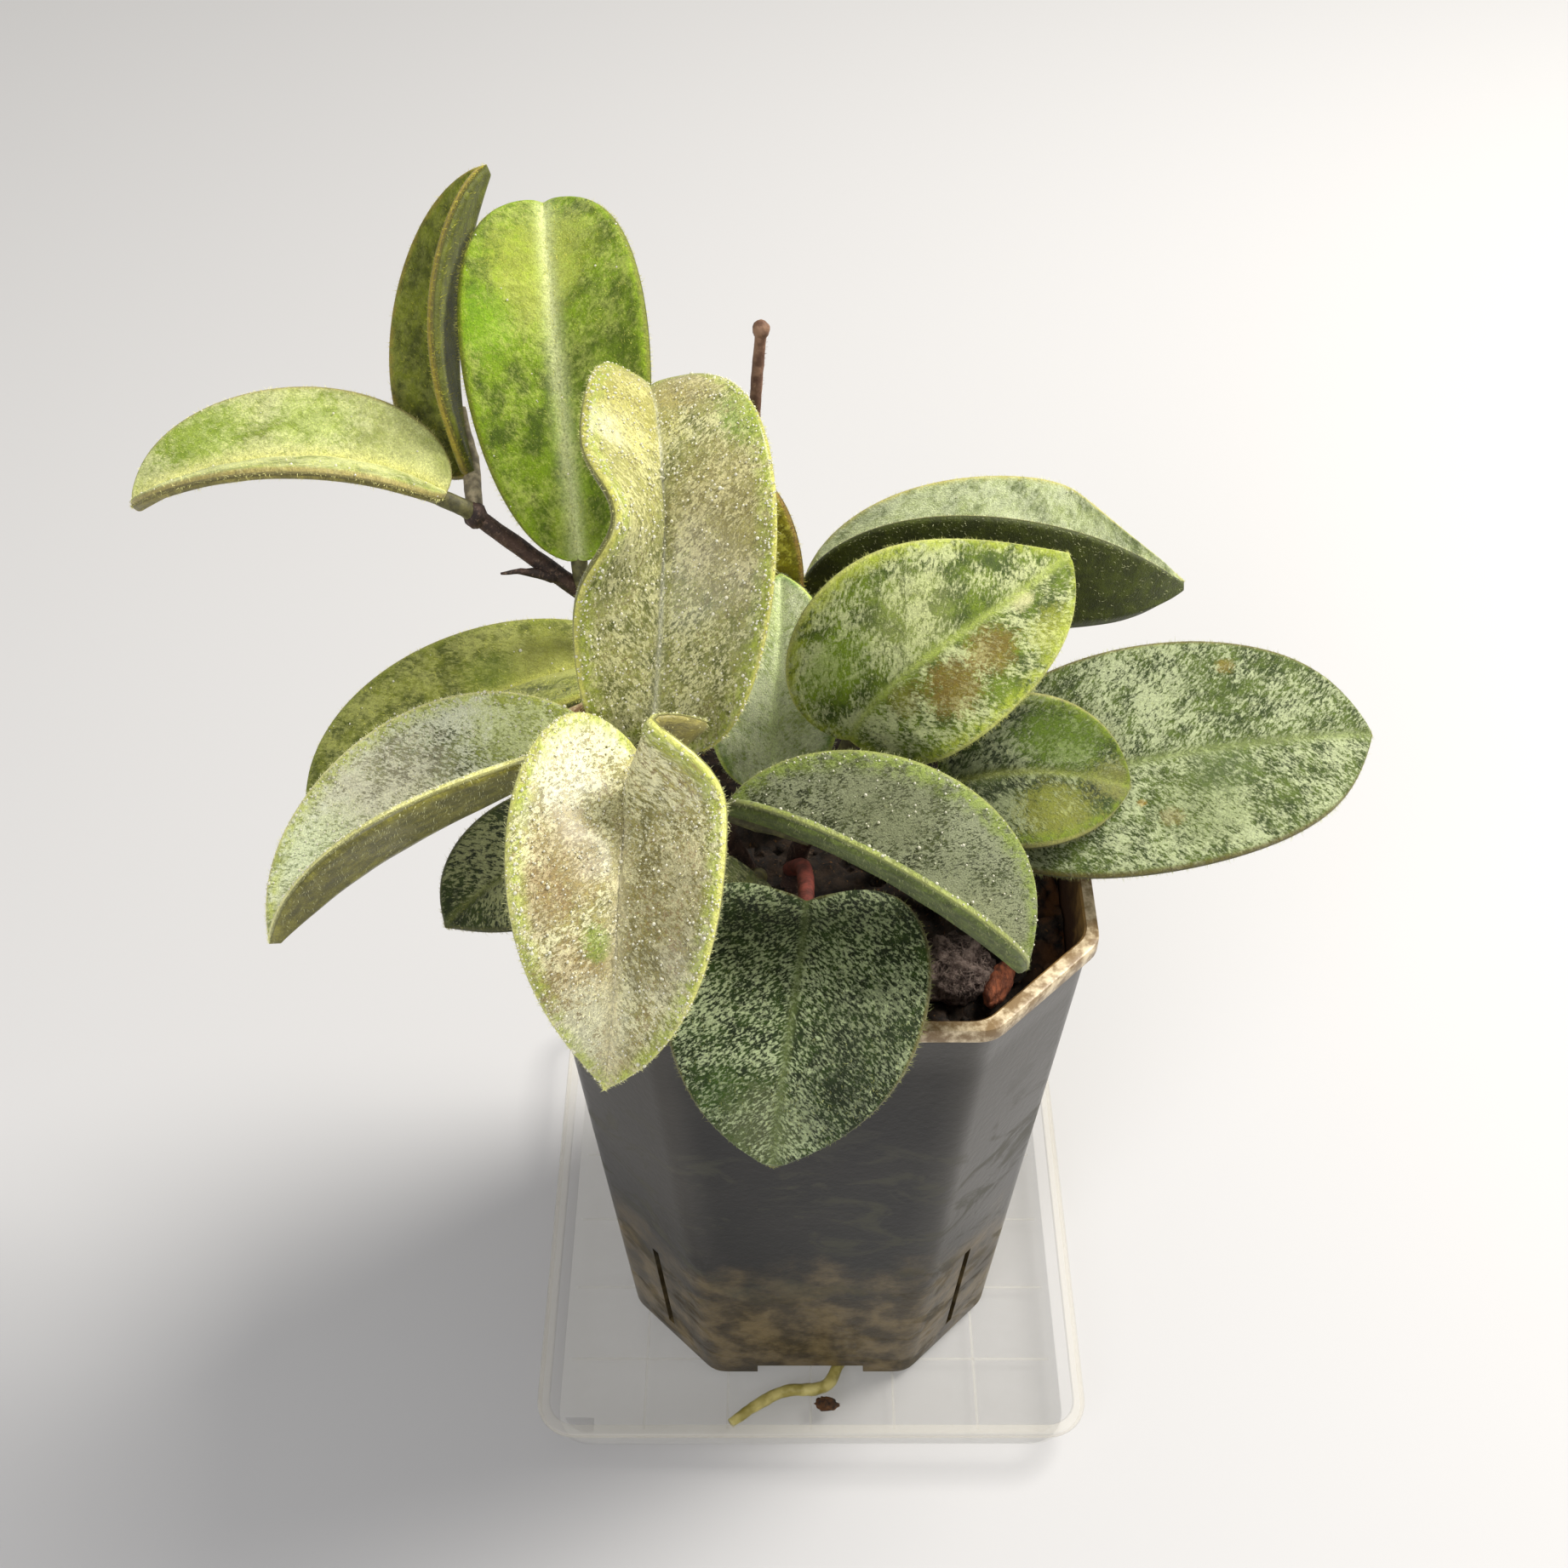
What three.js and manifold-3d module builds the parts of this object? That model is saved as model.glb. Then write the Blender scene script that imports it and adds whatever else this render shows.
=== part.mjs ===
// A young grey ghost hoya in a square plastic pot with cut corners, standing on a clear square dish.
// Millimetres, +Z up. The origin is on the surface under the pot's axis, and -Y is the front.
import * as THREE from 'three';
import { mergeVertices } from 'three/addons/utils/BufferGeometryUtils.js';
import Module from 'manifold-3d';

const wasm = await Module();
wasm.setup();

// Driving dimensions
const GAP = 0.3; // clear space between pieces that touch
const PAST = 1; // how far a cutting body reaches past what it cuts

const DISH_BASE_WIDTH = 86;
const DISH_FLOOR_WIDTH = 83;
const DISH_RIM_WIDTH = 91;
const DISH_HEIGHT = 8.5;
const DISH_FLOOR = 1.8; // top of the dish's floor
const DISH_WALL = 1.4;
const DISH_CORNER = 6;
const DISH_LIP = { height: 1.4, reach: 0.7 };
const DISH_CORNER_STEPS = 3;
const GRID_CELLS = 6;
const GRID_PITCH = 14;
const GRID_GROOVE = { width: 0.5, depth: 0.3 };
const GRID_SHORT = 2; // how much shorter a line is than the grid

const POT_TOP = 107;
const POT_RIM_WIDTH = 78;
const POT_RIM_CUT = 15.5; // how far each cut corner takes off the square, in plan
const POT_FOOT_WIDTH = 61;
const POT_FOOT_CUT = 14.2;
const POT_WALL = 1.1;
const POT_BAND = { height: 2.6, reach: 0.8 };
const POT_FLOOR_UNDER = DISH_FLOOR + 2.8;
const POT_FLOOR = 1.3; // thickness of the pot's floor
const POT_FOOT_WALL = POT_WALL + 0.4; // round the hollow under the pot's floor
const POT_NOTCH = { width: 18, height: 2.6, past: 10 };
const POT_SLOT = { width: 1.4, top: 32, bottom: DISH_FLOOR + 5, depth: 8, out: 1 };
const DRAIN_HOLE = { radius: 3.5, out: 10, sides: 16 };

const SOIL_TOP = 97;
const SOIL_STEPS = 11;
const SOIL_SWELL = 1.1 * 0.6; // height of the soil's soft lumps
const SOIL_SINK = 1; // how far the soil's mean height lies below its top
const SOIL_WAVE = { x: 0.42, y: 0.37, fineX: 0.83, fineY: 0.7, start: 1.3, fineStart: 2, fine: 0.6 };
const SOIL_PAST = 4; // how much wider than the pot, to be cut off too
const SOIL_DEPTH = 300; // far below the pot, to be cut off by the pot's inside
const CRUMB_COUNT = 22;
const CRUMB_SIZE = [1.1, 2.3];
const CRUMB_SHAPE = [1, 0.8, 0.7]; // length, width and height, as shares of the size
const CRUMB_LUMPS = 0.1;
const CRUMB_RAISE = 0.2;
const CRUMB_EDGE = 14; // how much narrower than the rim the field of crumbs is
const PEBBLE_WAVE = { x: 5.1, y: 4.3, z: 7.7, turn: 3, startX: 1, startY: 2, fine: 0.6 };
const CRUMB_SEED = 5;
const RANDOM_FACTOR = 16807;
const RANDOM_RANGE = 2147483647;

const STEM_BURIED = 16; // how deep the stems stand in the soil
const STEM_SIDES = 8;
const STEM_STEPS = 3; // between two points of a stem's path
const NODE_SWELL = 1.5; // a leaf node's radius, in stem radii
const NODE_LENGTH = 1.2; // its half length, in its radii
const ROOT_STEPS = 24;

const BLADE_THICKNESS = 1.6;
const TIP_REACH = 0.05; // the last share of the blade, where a pointed tip is drawn in
const RIB_STEPS = 12;
const ACROSS = [-1, -0.92, -0.5, 0, 0.5, 0.92, 1];
const STALK_SIDES = 6;
const STALK_STEPS = 7;
const STALK_RADIUS = 1.2;
const STALK_END_RADIUS = 0.6; // where the stalk has sunk into the blade's rib
const STALK_REACH = [0.07, 0.16, 0.26]; // how far along the rib the stalk still shows under the blade
const STALK_DROP = 0.35;
const STALK_LEAD = 0.35; // how long the stalk runs in line with the rib, as a share of its reach
const STALK_BEND = 0.25; // how far that run is drawn back to the stem
const SPUR_RADIUS = [0.9, 0.45, 0.15];
const SPUR_STEPS = 4;
const LEAST_CURL = 0.1; // degrees
const NORMAL_STEP = 0.004; // how far apart the points are that a blade's normal is taken from
const NORMAL_END = 0.001; // how near they come to the blade's ends

// Stems: the points that they pass through, from the soil up, and the radius at each point.
const STEMS = {
  stem_left_long: {
    path: [[-2, 8, SOIL_TOP], [-15, 10, 124], [-31, 8, 142], [-45, 8, 156]],
    radius: [1.5, 1.4, 1.3, 1.1],
    nodes: [1, 2, 3],
    spur: [[-35, 7.5, 146], [-39.5, 5.5, 148.5], [-42, 4.5, 149]],
  },
  stem_centre: {
    path: [[-9, -5, SOIL_TOP], [-14, -9, 116], [-19, -16, 133], [-21, -25, 144]],
    radius: [1.5, 1.4, 1.35, 1.2],
    nodes: [1, 2, 3],
  },
  stem_inner: {
    path: [[-3.5, -3.5, SOIL_TOP], [-1, -2.5, 107], [4, -3, 117]],
    radius: [1.5, 1.4, 1.2],
    nodes: [1, 2],
  },
  stem_right: {
    path: [[11, 0, SOIL_TOP], [12, -1, 106], [12.5, -3, 114]],
    radius: [1.4, 1.3, 1.2],
    nodes: [1, 2],
  },
  runner: {
    path: [[-3.5, 13, SOIL_TOP], [-5, 19, 114], [-8, 25, 142], [-8.5, 23, 160], [-7.5, 25.5, 173]],
    radius: [1.1, 1, 0.85, 0.8, 0.8],
    nodes: [1, 4],
  },
};

// Leaves. rib: the midrib from the blade's base to its tip, as a Bezier curve. face: which way the upper
// side looks at the base and at the tip. round: how the outline narrows to the base and to the tip, from
// blunt to sharp; roundLeft: the same for the left half, where it differs. point: how slender the tip is.
// fold and curl: degrees, right half base and tip, then left half base and tip (right as seen from above
// with the tip ahead). crease: [half, degrees, place, reach] folds one half further up near one place.
// sides: factors on the two halves' widths, in the same order as fold. lobe: how far the base lobes of the
// right and the left half reach back. steps: along the rib, where a waved blade has more.
const LEAVES = {
  leaf_centre_tall: {
    stalk: [-21, -25, 144],
    rib: [[-21, -23, 145.5], [-18.5, -18.5, 164], [-18.5, -5, 182], [-21.5, 9, 174.5]],
    face: [[0.1, -0.9, 0.5], [0, -0.3, 1]],
    width: 28, round: [0.34, 0.36], fold: [18, 14, 20, 54], curl: [-10, -20, -10, -20],
    crease: [-1, 34, 0.49, 0.11], sides: [1, 1, 0.86, 0.86], lobe: [5, 5], steps: 20,
  },
  leaf_front: {
    stalk: [-21, -25, 144],
    rib: [[-22, -29.8, 148.5], [-24.4, -47.7, 148.1], [-22.6, -59, 144.5], [-25.5, -63.1, 126.8]],
    face: [[-0.1, -0.4, 0.9], [-0.05, -0.6, 0.8]],
    width: 29, round: [0.39, 0.86], roundLeft: [0.3, 0.69], point: 0.5,
    fold: [43, 19, 43, 5], curl: [-15, -10, -15, -10],
    crease: [-1, 42, 0.16, 0.06], sides: [0.95, 1.03, 0.98, 0.95], lobe: [9, 6],
  },
  leaf_left_front: {
    stalk: [-19, -16, 133],
    rib: [[-27.5, -19, 140.5], [-42, -31.5, 142], [-55, -33, 137.5], [-67.5, -43.5, 130]],
    face: [[0.1, 0.25, 1], [-0.5, 0.1, 0.8]],
    width: 29, round: [0.5, 0.66], point: 0.4, fold: [42, 48, 42, 48],
  },
  leaf_right_front: {
    stalk: [-19, -16, 133],
    rib: [[-12, -23, 133], [2.5, -26, 130.5], [16, -32, 124.5], [27, -35.5, 115.5]],
    face: [[-0.2, 0.2, 1], [0.4, 0.1, 0.8]],
    width: 27, round: [0.46, 0.5], roundLeft: [0.66, 0.5], point: 0.5,
    fold: [45, 40, 45, 40], sides: [1, 1, 1.2, 1.1],
  },
  leaf_left_back: {
    stalk: [-15, 10, 124],
    rib: [[-25, 8.5, 131], [-42.5, -1.5, 135], [-58.5, -11, 134], [-68, -16.5, 123.5]],
    face: [[0.1, 0, 1], [-0.5, -0.1, 0.8]],
    width: 23, round: [0.5, 0.56], point: 0.4, fold: [20, 15, 20, 15],
  },
  leaf_dark_front: {
    stalk: [-3.5, -3.5, 100],
    rib: [[-1.5, -25, 116.5], [-2.5, -44, 123], [-5, -53.5, 117.5], [-6, -55, 99]],
    face: [[0, -0.3, 1], [0, -0.7, 0.7]],
    width: 34, round: [0.33, 0.6], point: 0.8, fold: [5, 0, 5, 0],
    curl: [0, -10, 0, -10], lobe: [8, 8],
  },
  leaf_right_large: {
    stalk: [12, -1, 106],
    rib: [[20, -5.5, 114.5], [38, -4, 121.5], [58.5, -0.5, 123.5], [79, 3.5, 120.5]],
    face: [[0, -0.4, 1], [0.1, -0.5, 0.9]],
    width: 33.5, round: [0.42, 0.48], point: 0.6, fold: [5, 3, 5, 3],
  },
  leaf_right_small: {
    stalk: [12.5, -3, 114],
    rib: [[17.5, -6.5, 120], [25.5, -7, 124.5], [35, -7.5, 124.5], [43.5, -7, 120.5]],
    face: [[0, -0.5, 0.9], [0, -0.5, 0.9]],
    width: 22.5, round: [0.45, 0.62], point: 0.5, fold: [10, 5, 10, 5],
  },
  leaf_right_middle: {
    stalk: [4, -3, 117],
    rib: [[4.5, -6, 129], [8.5, -7.5, 143.5], [23.5, 0.5, 144], [35, 16.5, 143]],
    face: [[0, -0.7, 0.7], [0.1, -0.6, 0.8]],
    width: 27.5, round: [0.31, 0.55], roundLeft: [0.53, 0.77], point: 0.6,
    fold: [9, -8, 19, -3], sides: [0.86, 1.05, 1.32, 0.92],
  },
  leaf_right_back: {
    stalk: [-5, 19, 114],
    rib: [[0, 23, 119], [14.5, 25, 131], [42, 15, 123], [55.5, 31.5, 125.5]],
    face: [[-0.1, 0.6, 0.8], [0.1, 0.6, 0.8]],
    width: 34, round: [0.4, 0.7], roundLeft: [0.4, 0.42], point: 0.6,
    fold: [68, 66, 68, 66], curl: [8, 8, 0, 0], sides: [0.9, 1.05, 1.3, 1.4],
  },
  leaf_centre_silver: {
    stalk: [-1, -2.5, 107],
    rib: [[-5.5, -3.5, 117], [-7, -1.5, 127], [-4.5, 6.5, 134], [-5, 17.5, 138.5]],
    face: [[0, -0.8, 0.6], [0, -0.6, 0.8]],
    width: 18.5, round: [0.45, 0.64], point: 0.5, fold: [12, 8, 12, 8],
  },
  leaf_behind_centre: {
    stalk: [-5, 19, 114],
    rib: [[-7.5, 18.5, 121], [-9, 19, 134.5], [-9, 20, 142], [-8, 25, 149.5]],
    face: [[-0.1, -0.8, 0.5], [-0.1, -0.8, 0.5]],
    width: 14.5, round: [0.5, 0.6], fold: [12, 8, 12, 8],
  },
  leaf_top_level: {
    stalk: [-45, 8, 156],
    rib: [[-48.5, 7.5, 159.5], [-58, 9, 166.5], [-76.5, 9, 166], [-89, 6.5, 158.5]],
    face: [[0, 0, 1], [-0.3, 0, 0.9]],
    width: 21, round: [0.45, 0.45], point: 0.5, fold: [28, 26, 28, 26],
  },
  leaf_top_upright: {
    stalk: [-45, 8, 156],
    rib: [[-46, 12.5, 159], [-49.5, 22, 165], [-49.5, 31.5, 176.5], [-43.5, 40.5, 188.5]],
    face: [[-0.8, -0.2, 0.5], [-0.8, -0.2, 0.4]],
    width: 20, round: [0.5, 0.56], point: 0.4, fold: [35, 35, 35, 35],
  },
  leaf_top_green: {
    stalk: [-31, 8, 142],
    rib: [[-32, 8, 148.5], [-32.5, 11.5, 167.5], [-35, 25.5, 181.5], [-36.5, 40.5, 182.5]],
    face: [[0, -0.8, 0.6], [0, -0.5, 0.9]],
    width: 25, round: [0.5, 0.42], fold: [10, 14, 10, 14],
  },
  leaf_low_left: {
    stalk: [-14, -9, 116],
    rib: [[-20, -19, 119], [-29.5, -24, 127], [-39.5, -26, 128], [-48, -34, 122]],
    face: [[0, -0.3, 0.9], [0, -0.3, 0.9]],
    width: 20, round: [0.5, 0.56], point: 0.6, fold: [10, 5, 10, 5],
  },
  leaf_young_low: {
    stalk: [-9, -5, 100],
    rib: [[-8.5, -14, 109], [-10, -20, 114], [-12.5, -22, 116], [-15, -26, 115]],
    face: [[0.2, -0.3, 0.9], [0.2, -0.3, 0.9]],
    width: 12, round: [0.5, 0.5], fold: [10, 5, 10, 5],
  },
};

// Small things on the soil and on the dish
const CLUMP = { center: [19, -22, SOIL_TOP + 2.2], size: [6, 5.5, 4], lumps: 0.14, detail: 2 };
const CHIP = {
  center: [25.5, -24.5, SOIL_TOP + 2.2], size: [1.9, 4.3, 1.7], lumps: 0.08, detail: 1, turn: -25,
};
const ROOT = {
  path: [[9.5, -10, 9], [9, -12, 3.9], [7.5, -20, 2.9], [5, -29, 2.9], [2.5, -33.6, 2.9],
    [-4.6, -34.7, 2.9], [-9.5, -37.4, 2.9], [-13.4, -40.4, 2.8]],
  radius: [0.8, 0.9, 1, 1.05, 1.05, 1, 0.95, 0.8],
};
const DISH_CRUMB = {
  center: [2.6, -37, DISH_FLOOR + 1 + GAP], size: [1.9, 1.3, 0.9], lumps: 0.1, detail: 1,
};

function vector(p) {
  return new THREE.Vector3(p[0], p[1], p[2]);
}

function mix(a, b, t) {
  return a + (b - a) * t;
}

function toSolid(points, triangles) {
  return new wasm.Manifold(new wasm.Mesh({
    numProp: 3,
    vertProperties: new Float32Array(points.flat()),
    triVerts: new Uint32Array(triangles.flat()),
  }));
}

function toGeometry(solid) {
  const out = solid.getMesh();
  const geometry = new THREE.BufferGeometry();
  geometry.setAttribute('position', new THREE.BufferAttribute(new Float32Array(out.vertProperties), 3));
  geometry.setIndex(new THREE.BufferAttribute(new Uint32Array(out.triVerts), 1));
  return geometry;
}

// A closed body through rings of points, flat at both ends. Each ring turns left, seen from the last one.
function loft(rings) {
  const count = rings[0].length;
  const points = rings.flat();
  const triangles = [];
  for (let r = 0; r < rings.length - 1; r += 1) {
    for (let k = 0; k < count; k += 1) {
      const a = r * count + k;
      const b = r * count + ((k + 1) % count);
      triangles.push([a, b, b + count], [a, b + count, a + count]);
    }
  }
  const last = (rings.length - 1) * count;
  for (let k = 1; k < count - 1; k += 1) {
    triangles.push([0, k + 1, k], [last, last + k, last + k + 1]);
  }
  return toSolid(points, triangles);
}

// A square with cut corners, at height z
function cutSquare(width, cut, z) {
  const h = width / 2;
  const c = h - cut;
  return [[-c, -h, z], [c, -h, z], [h, -c, z], [h, c, z], [c, h, z], [-c, h, z], [-h, c, z], [-h, -c, z]];
}

// A square with round corners, at height z
function roundSquare(width, corner, z) {
  const ring = [];
  const c = width / 2 - corner;
  const centers = [[c, -c, -90], [c, c, 0], [-c, c, 90], [-c, -c, 180]];
  for (const [x, y, start] of centers) {
    for (let k = 0; k <= DISH_CORNER_STEPS; k += 1) {
      const angle = THREE.MathUtils.degToRad(start + (90 * k) / DISH_CORNER_STEPS);
      ring.push([x + corner * Math.cos(angle), y + corner * Math.sin(angle), z]);
    }
  }
  return ring;
}

// A closed three.js geometry as a solid: only its corner points are kept, each of them once.
function solidOf(geometry) {
  geometry.deleteAttribute('normal');
  geometry.deleteAttribute('uv');
  const merged = mergeVertices(geometry);
  return new wasm.Manifold(new wasm.Mesh({
    numProp: 3,
    vertProperties: new Float32Array(merged.getAttribute('position').array),
    triVerts: new Uint32Array(merged.index.array),
  }));
}

function box(size, center, turn = 0) {
  return solidOf(new THREE.BoxGeometry(...size)).rotate([0, 0, turn]).translate(center);
}

function drum(radius, sides, height, center) {
  const upright = new THREE.CylinderGeometry(radius, radius, height, sides).rotateX(Math.PI / 2);
  return solidOf(upright).translate(center);
}

// A round limb along a smooth curve. The radius changes evenly between the given ones.
function limb(path, radius, sides, steps, grow = 0) {
  const curve = new THREE.CatmullRomCurve3(path.map(vector));
  const frames = curve.computeFrenetFrames(steps, false);
  const rings = [];
  for (let k = 0; k <= steps; k += 1) {
    const u = k / steps;
    const center = curve.getPointAt(u);
    const along = curve.getUtoTmapping(u) * (radius.length - 1);
    const step = Math.min(Math.floor(along), radius.length - 2);
    const r = mix(radius[step], radius[step + 1], along - step) + grow;
    rings.push(Array.from({ length: sides }, (_, j) => {
      const angle = (2 * Math.PI * j) / sides;
      const out = frames.normals[k].clone().multiplyScalar(r * Math.cos(angle))
        .addScaledVector(frames.binormals[k], r * Math.sin(angle));
      return center.clone().add(out).toArray();
    }));
  }
  return loft(rings);
}

// A lumpy pebble: a sphere with its surface raised and sunk by a smooth wave
function pebble({ center, size, lumps, detail, turn = 0 }, grow = 0) {
  const sphere = new THREE.IcosahedronGeometry(1, detail);
  const place = sphere.getAttribute('position');
  const p = new THREE.Vector3();
  const w = PEBBLE_WAVE;
  for (let k = 0; k < place.count; k += 1) {
    p.fromBufferAttribute(place, k);
    const wave = Math.sin(w.x * p.x + w.startX) * Math.sin(w.y * p.y + w.startY)
      + w.fine * Math.sin(w.z * p.z + w.turn * p.x);
    p.multiplyScalar(1 + lumps * wave);
    place.setXYZ(k, p.x * (size[0] + grow), p.y * (size[1] + grow), p.z * (size[2] + grow));
  }
  return solidOf(sphere).rotate([0, 0, turn]).translate(center);
}

function halfWidth(leaf, t, side) {
  const [base, tip] = side < 0 && leaf.roundLeft ? leaf.roundLeft : leaf.round;
  const widest = base / (base + tip);
  const most = widest ** base * (1 - widest) ** tip;
  const outline = (t ** base * (1 - t) ** tip) / most;
  const pinch = (1 - Math.exp((t - 1) / TIP_REACH)) ** (leaf.point ?? 0);
  return (leaf.width / 2) * outline * pinch;
}

// The middle surface of a blade. t runs from base to tip, and s from the left margin to the right, -1 to 1.
function bladePoint(leaf, t, s) {
  const curve = new THREE.CubicBezierCurve3(...leaf.rib.map(vector));
  const tangent = curve.getTangent(t);
  const up = vector(leaf.face[0]).lerp(vector(leaf.face[1]), t);
  up.addScaledVector(tangent, -up.dot(tangent)).normalize();
  const right = tangent.clone().cross(up);
  const side = s < 0 ? -1 : 1;
  const u = Math.abs(s);
  const first = side > 0 ? 0 : 2;
  let fold = mix(leaf.fold[first], leaf.fold[first + 1], t);
  if (leaf.crease && leaf.crease[0] === side) {
    fold += leaf.crease[1] * Math.exp(-(((t - leaf.crease[2]) / leaf.crease[3]) ** 2));
  }
  const curls = leaf.curl ?? [0, 0, 0, 0];
  const curl = mix(curls[first], curls[first + 1], t);
  const f = THREE.MathUtils.degToRad(fold);
  const c = THREE.MathUtils.degToRad(Math.abs(curl) < LEAST_CURL ? LEAST_CURL : curl);
  const sides = leaf.sides ?? [1, 1, 1, 1];
  const half = halfWidth(leaf, t, side) * mix(sides[first], sides[first + 1], t);
  const across = (half * (Math.sin(f + c * u) - Math.sin(f))) / c;
  const rise = (half * (Math.cos(f) - Math.cos(f + c * u))) / c;
  const lobe = (leaf.lobe ?? [0, 0])[side > 0 ? 0 : 1];
  const back = (lobe * u * u * half * (1 - t) ** 3) / (leaf.width / 2);
  return curve.getPoint(t)
    .addScaledVector(right, side * across)
    .addScaledVector(up, rise)
    .addScaledVector(tangent, -back);
}

function bladeNormal(leaf, t, s) {
  const d = NORMAL_STEP;
  const t0 = Math.max(t - d, NORMAL_END);
  const t1 = Math.min(t + d, 1 - NORMAL_END);
  const along = bladePoint(leaf, t1, s).sub(bladePoint(leaf, t0, s));
  const over = bladePoint(leaf, t, Math.min(s + d, 1)).sub(bladePoint(leaf, t, Math.max(s - d, -1)));
  return over.cross(along).normalize();
}

// The blade as a closed body: an upper and a lower face alike, which meet along the margin.
function bladeSolid(leaf) {
  const points = [];
  const last = ACROSS.length - 1;
  const add = (p) => points.push(p.toArray()) - 1;
  const upper = [];
  const lower = [];
  const steps = leaf.steps ?? RIB_STEPS;
  for (let i = 0; i <= steps; i += 1) {
    const t = (1 - Math.cos((Math.PI * i) / steps)) / 2;
    if (i === 0 || i === steps) {
      const end = add(bladePoint(leaf, t, 0));
      upper.push(ACROSS.map(() => end));
      lower.push(ACROSS.map(() => end));
      continue;
    }
    const top = [];
    const under = [];
    ACROSS.forEach((s, j) => {
      const p = bladePoint(leaf, t, s);
      if (j === 0 || j === last) {
        const rim = add(p);
        top.push(rim);
        under.push(rim);
        return;
      }
      const out = bladeNormal(leaf, t, s).multiplyScalar(BLADE_THICKNESS / 2);
      top.push(add(p.clone().add(out)));
      under.push(add(p.clone().sub(out)));
    });
    upper.push(top);
    lower.push(under);
  }
  const triangles = [];
  const keep = (a, b, c) => {
    if (a !== b && b !== c && a !== c) triangles.push([a, b, c]);
  };
  for (let i = 0; i < steps; i += 1) {
    for (let j = 0; j < last; j += 1) {
      const [a, b, c, d] = [upper[i][j], upper[i + 1][j], upper[i + 1][j + 1], upper[i][j + 1]];
      keep(a, d, c);
      keep(a, c, b);
      const [e, f, g, h] = [lower[i][j], lower[i + 1][j], lower[i + 1][j + 1], lower[i][j + 1]];
      keep(e, g, h);
      keep(e, f, g);
    }
  }
  return toSolid(points, triangles);
}

// The stalk runs from the stem to the blade and sinks into the underside of its rib.
function stalkSolid(leaf) {
  const curve = new THREE.CubicBezierCurve3(...leaf.rib.map(vector));
  const base = vector(leaf.rib[0]);
  const start = vector(leaf.stalk);
  const lead = curve.getTangent(0).multiplyScalar(-start.distanceTo(base) * STALK_LEAD);
  const path = [start, base.clone().add(lead).lerp(start, STALK_BEND)];
  for (const t of STALK_REACH) {
    path.push(curve.getPoint(t).addScaledVector(bladeNormal(leaf, t, 0), -STALK_DROP));
  }
  const middle = mix(STALK_RADIUS, STALK_END_RADIUS, 0.5);
  const radius = [STALK_RADIUS, STALK_RADIUS, STALK_RADIUS, middle, STALK_END_RADIUS];
  return limb(path.map((p) => p.toArray()), radius, STALK_SIDES, STALK_STEPS);
}

function stemSolid(stem, grow = 0) {
  const [foot] = stem.path;
  const path = [[foot[0], foot[1], foot[2] - STEM_BURIED - grow], ...stem.path];
  const radius = [stem.radius[0], ...stem.radius];
  let solid = limb(path, radius, STEM_SIDES, path.length * STEM_STEPS, grow);
  for (const k of stem.nodes) {
    const r = stem.radius[k] * NODE_SWELL + grow;
    solid = solid.add(pebble({ center: stem.path[k], size: [r, r, r * NODE_LENGTH], lumps: 0, detail: 1 }));
  }
  if (stem.spur) {
    solid = solid.add(limb(stem.spur, SPUR_RADIUS.map((r) => r + grow), STALK_SIDES, SPUR_STEPS));
  }
  return solid;
}

function dishSolid() {
  const rim = DISH_RIM_WIDTH - 2 * DISH_LIP.reach;
  const lipLow = DISH_HEIGHT - DISH_LIP.height;
  const lipCorner = DISH_CORNER + DISH_LIP.reach;
  const outer = loft([
    roundSquare(DISH_BASE_WIDTH, DISH_CORNER, 0),
    roundSquare(rim, DISH_CORNER, lipLow),
    roundSquare(DISH_RIM_WIDTH, lipCorner, lipLow + DISH_LIP.height / 3),
    roundSquare(DISH_RIM_WIDTH, lipCorner, DISH_HEIGHT),
  ]);
  const inner = loft([
    roundSquare(DISH_FLOOR_WIDTH, DISH_CORNER - DISH_WALL, DISH_FLOOR),
    roundSquare(rim - 2 * DISH_WALL, DISH_CORNER - DISH_WALL, DISH_HEIGHT + PAST),
  ]);
  let dish = outer.subtract(inner);
  const long = GRID_CELLS * GRID_PITCH - GRID_SHORT;
  for (let k = 1; k < GRID_CELLS; k += 1) {
    const at = (k - GRID_CELLS / 2) * GRID_PITCH;
    const deep = 2 * GRID_GROOVE.depth;
    dish = dish.subtract(box([GRID_GROOVE.width, long, deep], [at, 0, DISH_FLOOR]));
    dish = dish.subtract(box([long, GRID_GROOVE.width, deep], [0, at, DISH_FLOOR]));
  }
  return dish;
}

// The pot's width and corner cut at height z, taken in by an inset on every face
function potRing(z, inset) {
  const t = (z - DISH_FLOOR) / (POT_TOP - DISH_FLOOR);
  const width = mix(POT_FOOT_WIDTH, POT_RIM_WIDTH - 2 * POT_BAND.reach, t) - 2 * inset;
  const cut = mix(POT_FOOT_CUT, POT_RIM_CUT, t) - inset * (2 - Math.SQRT2);
  return cutSquare(width, cut, z);
}

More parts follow.
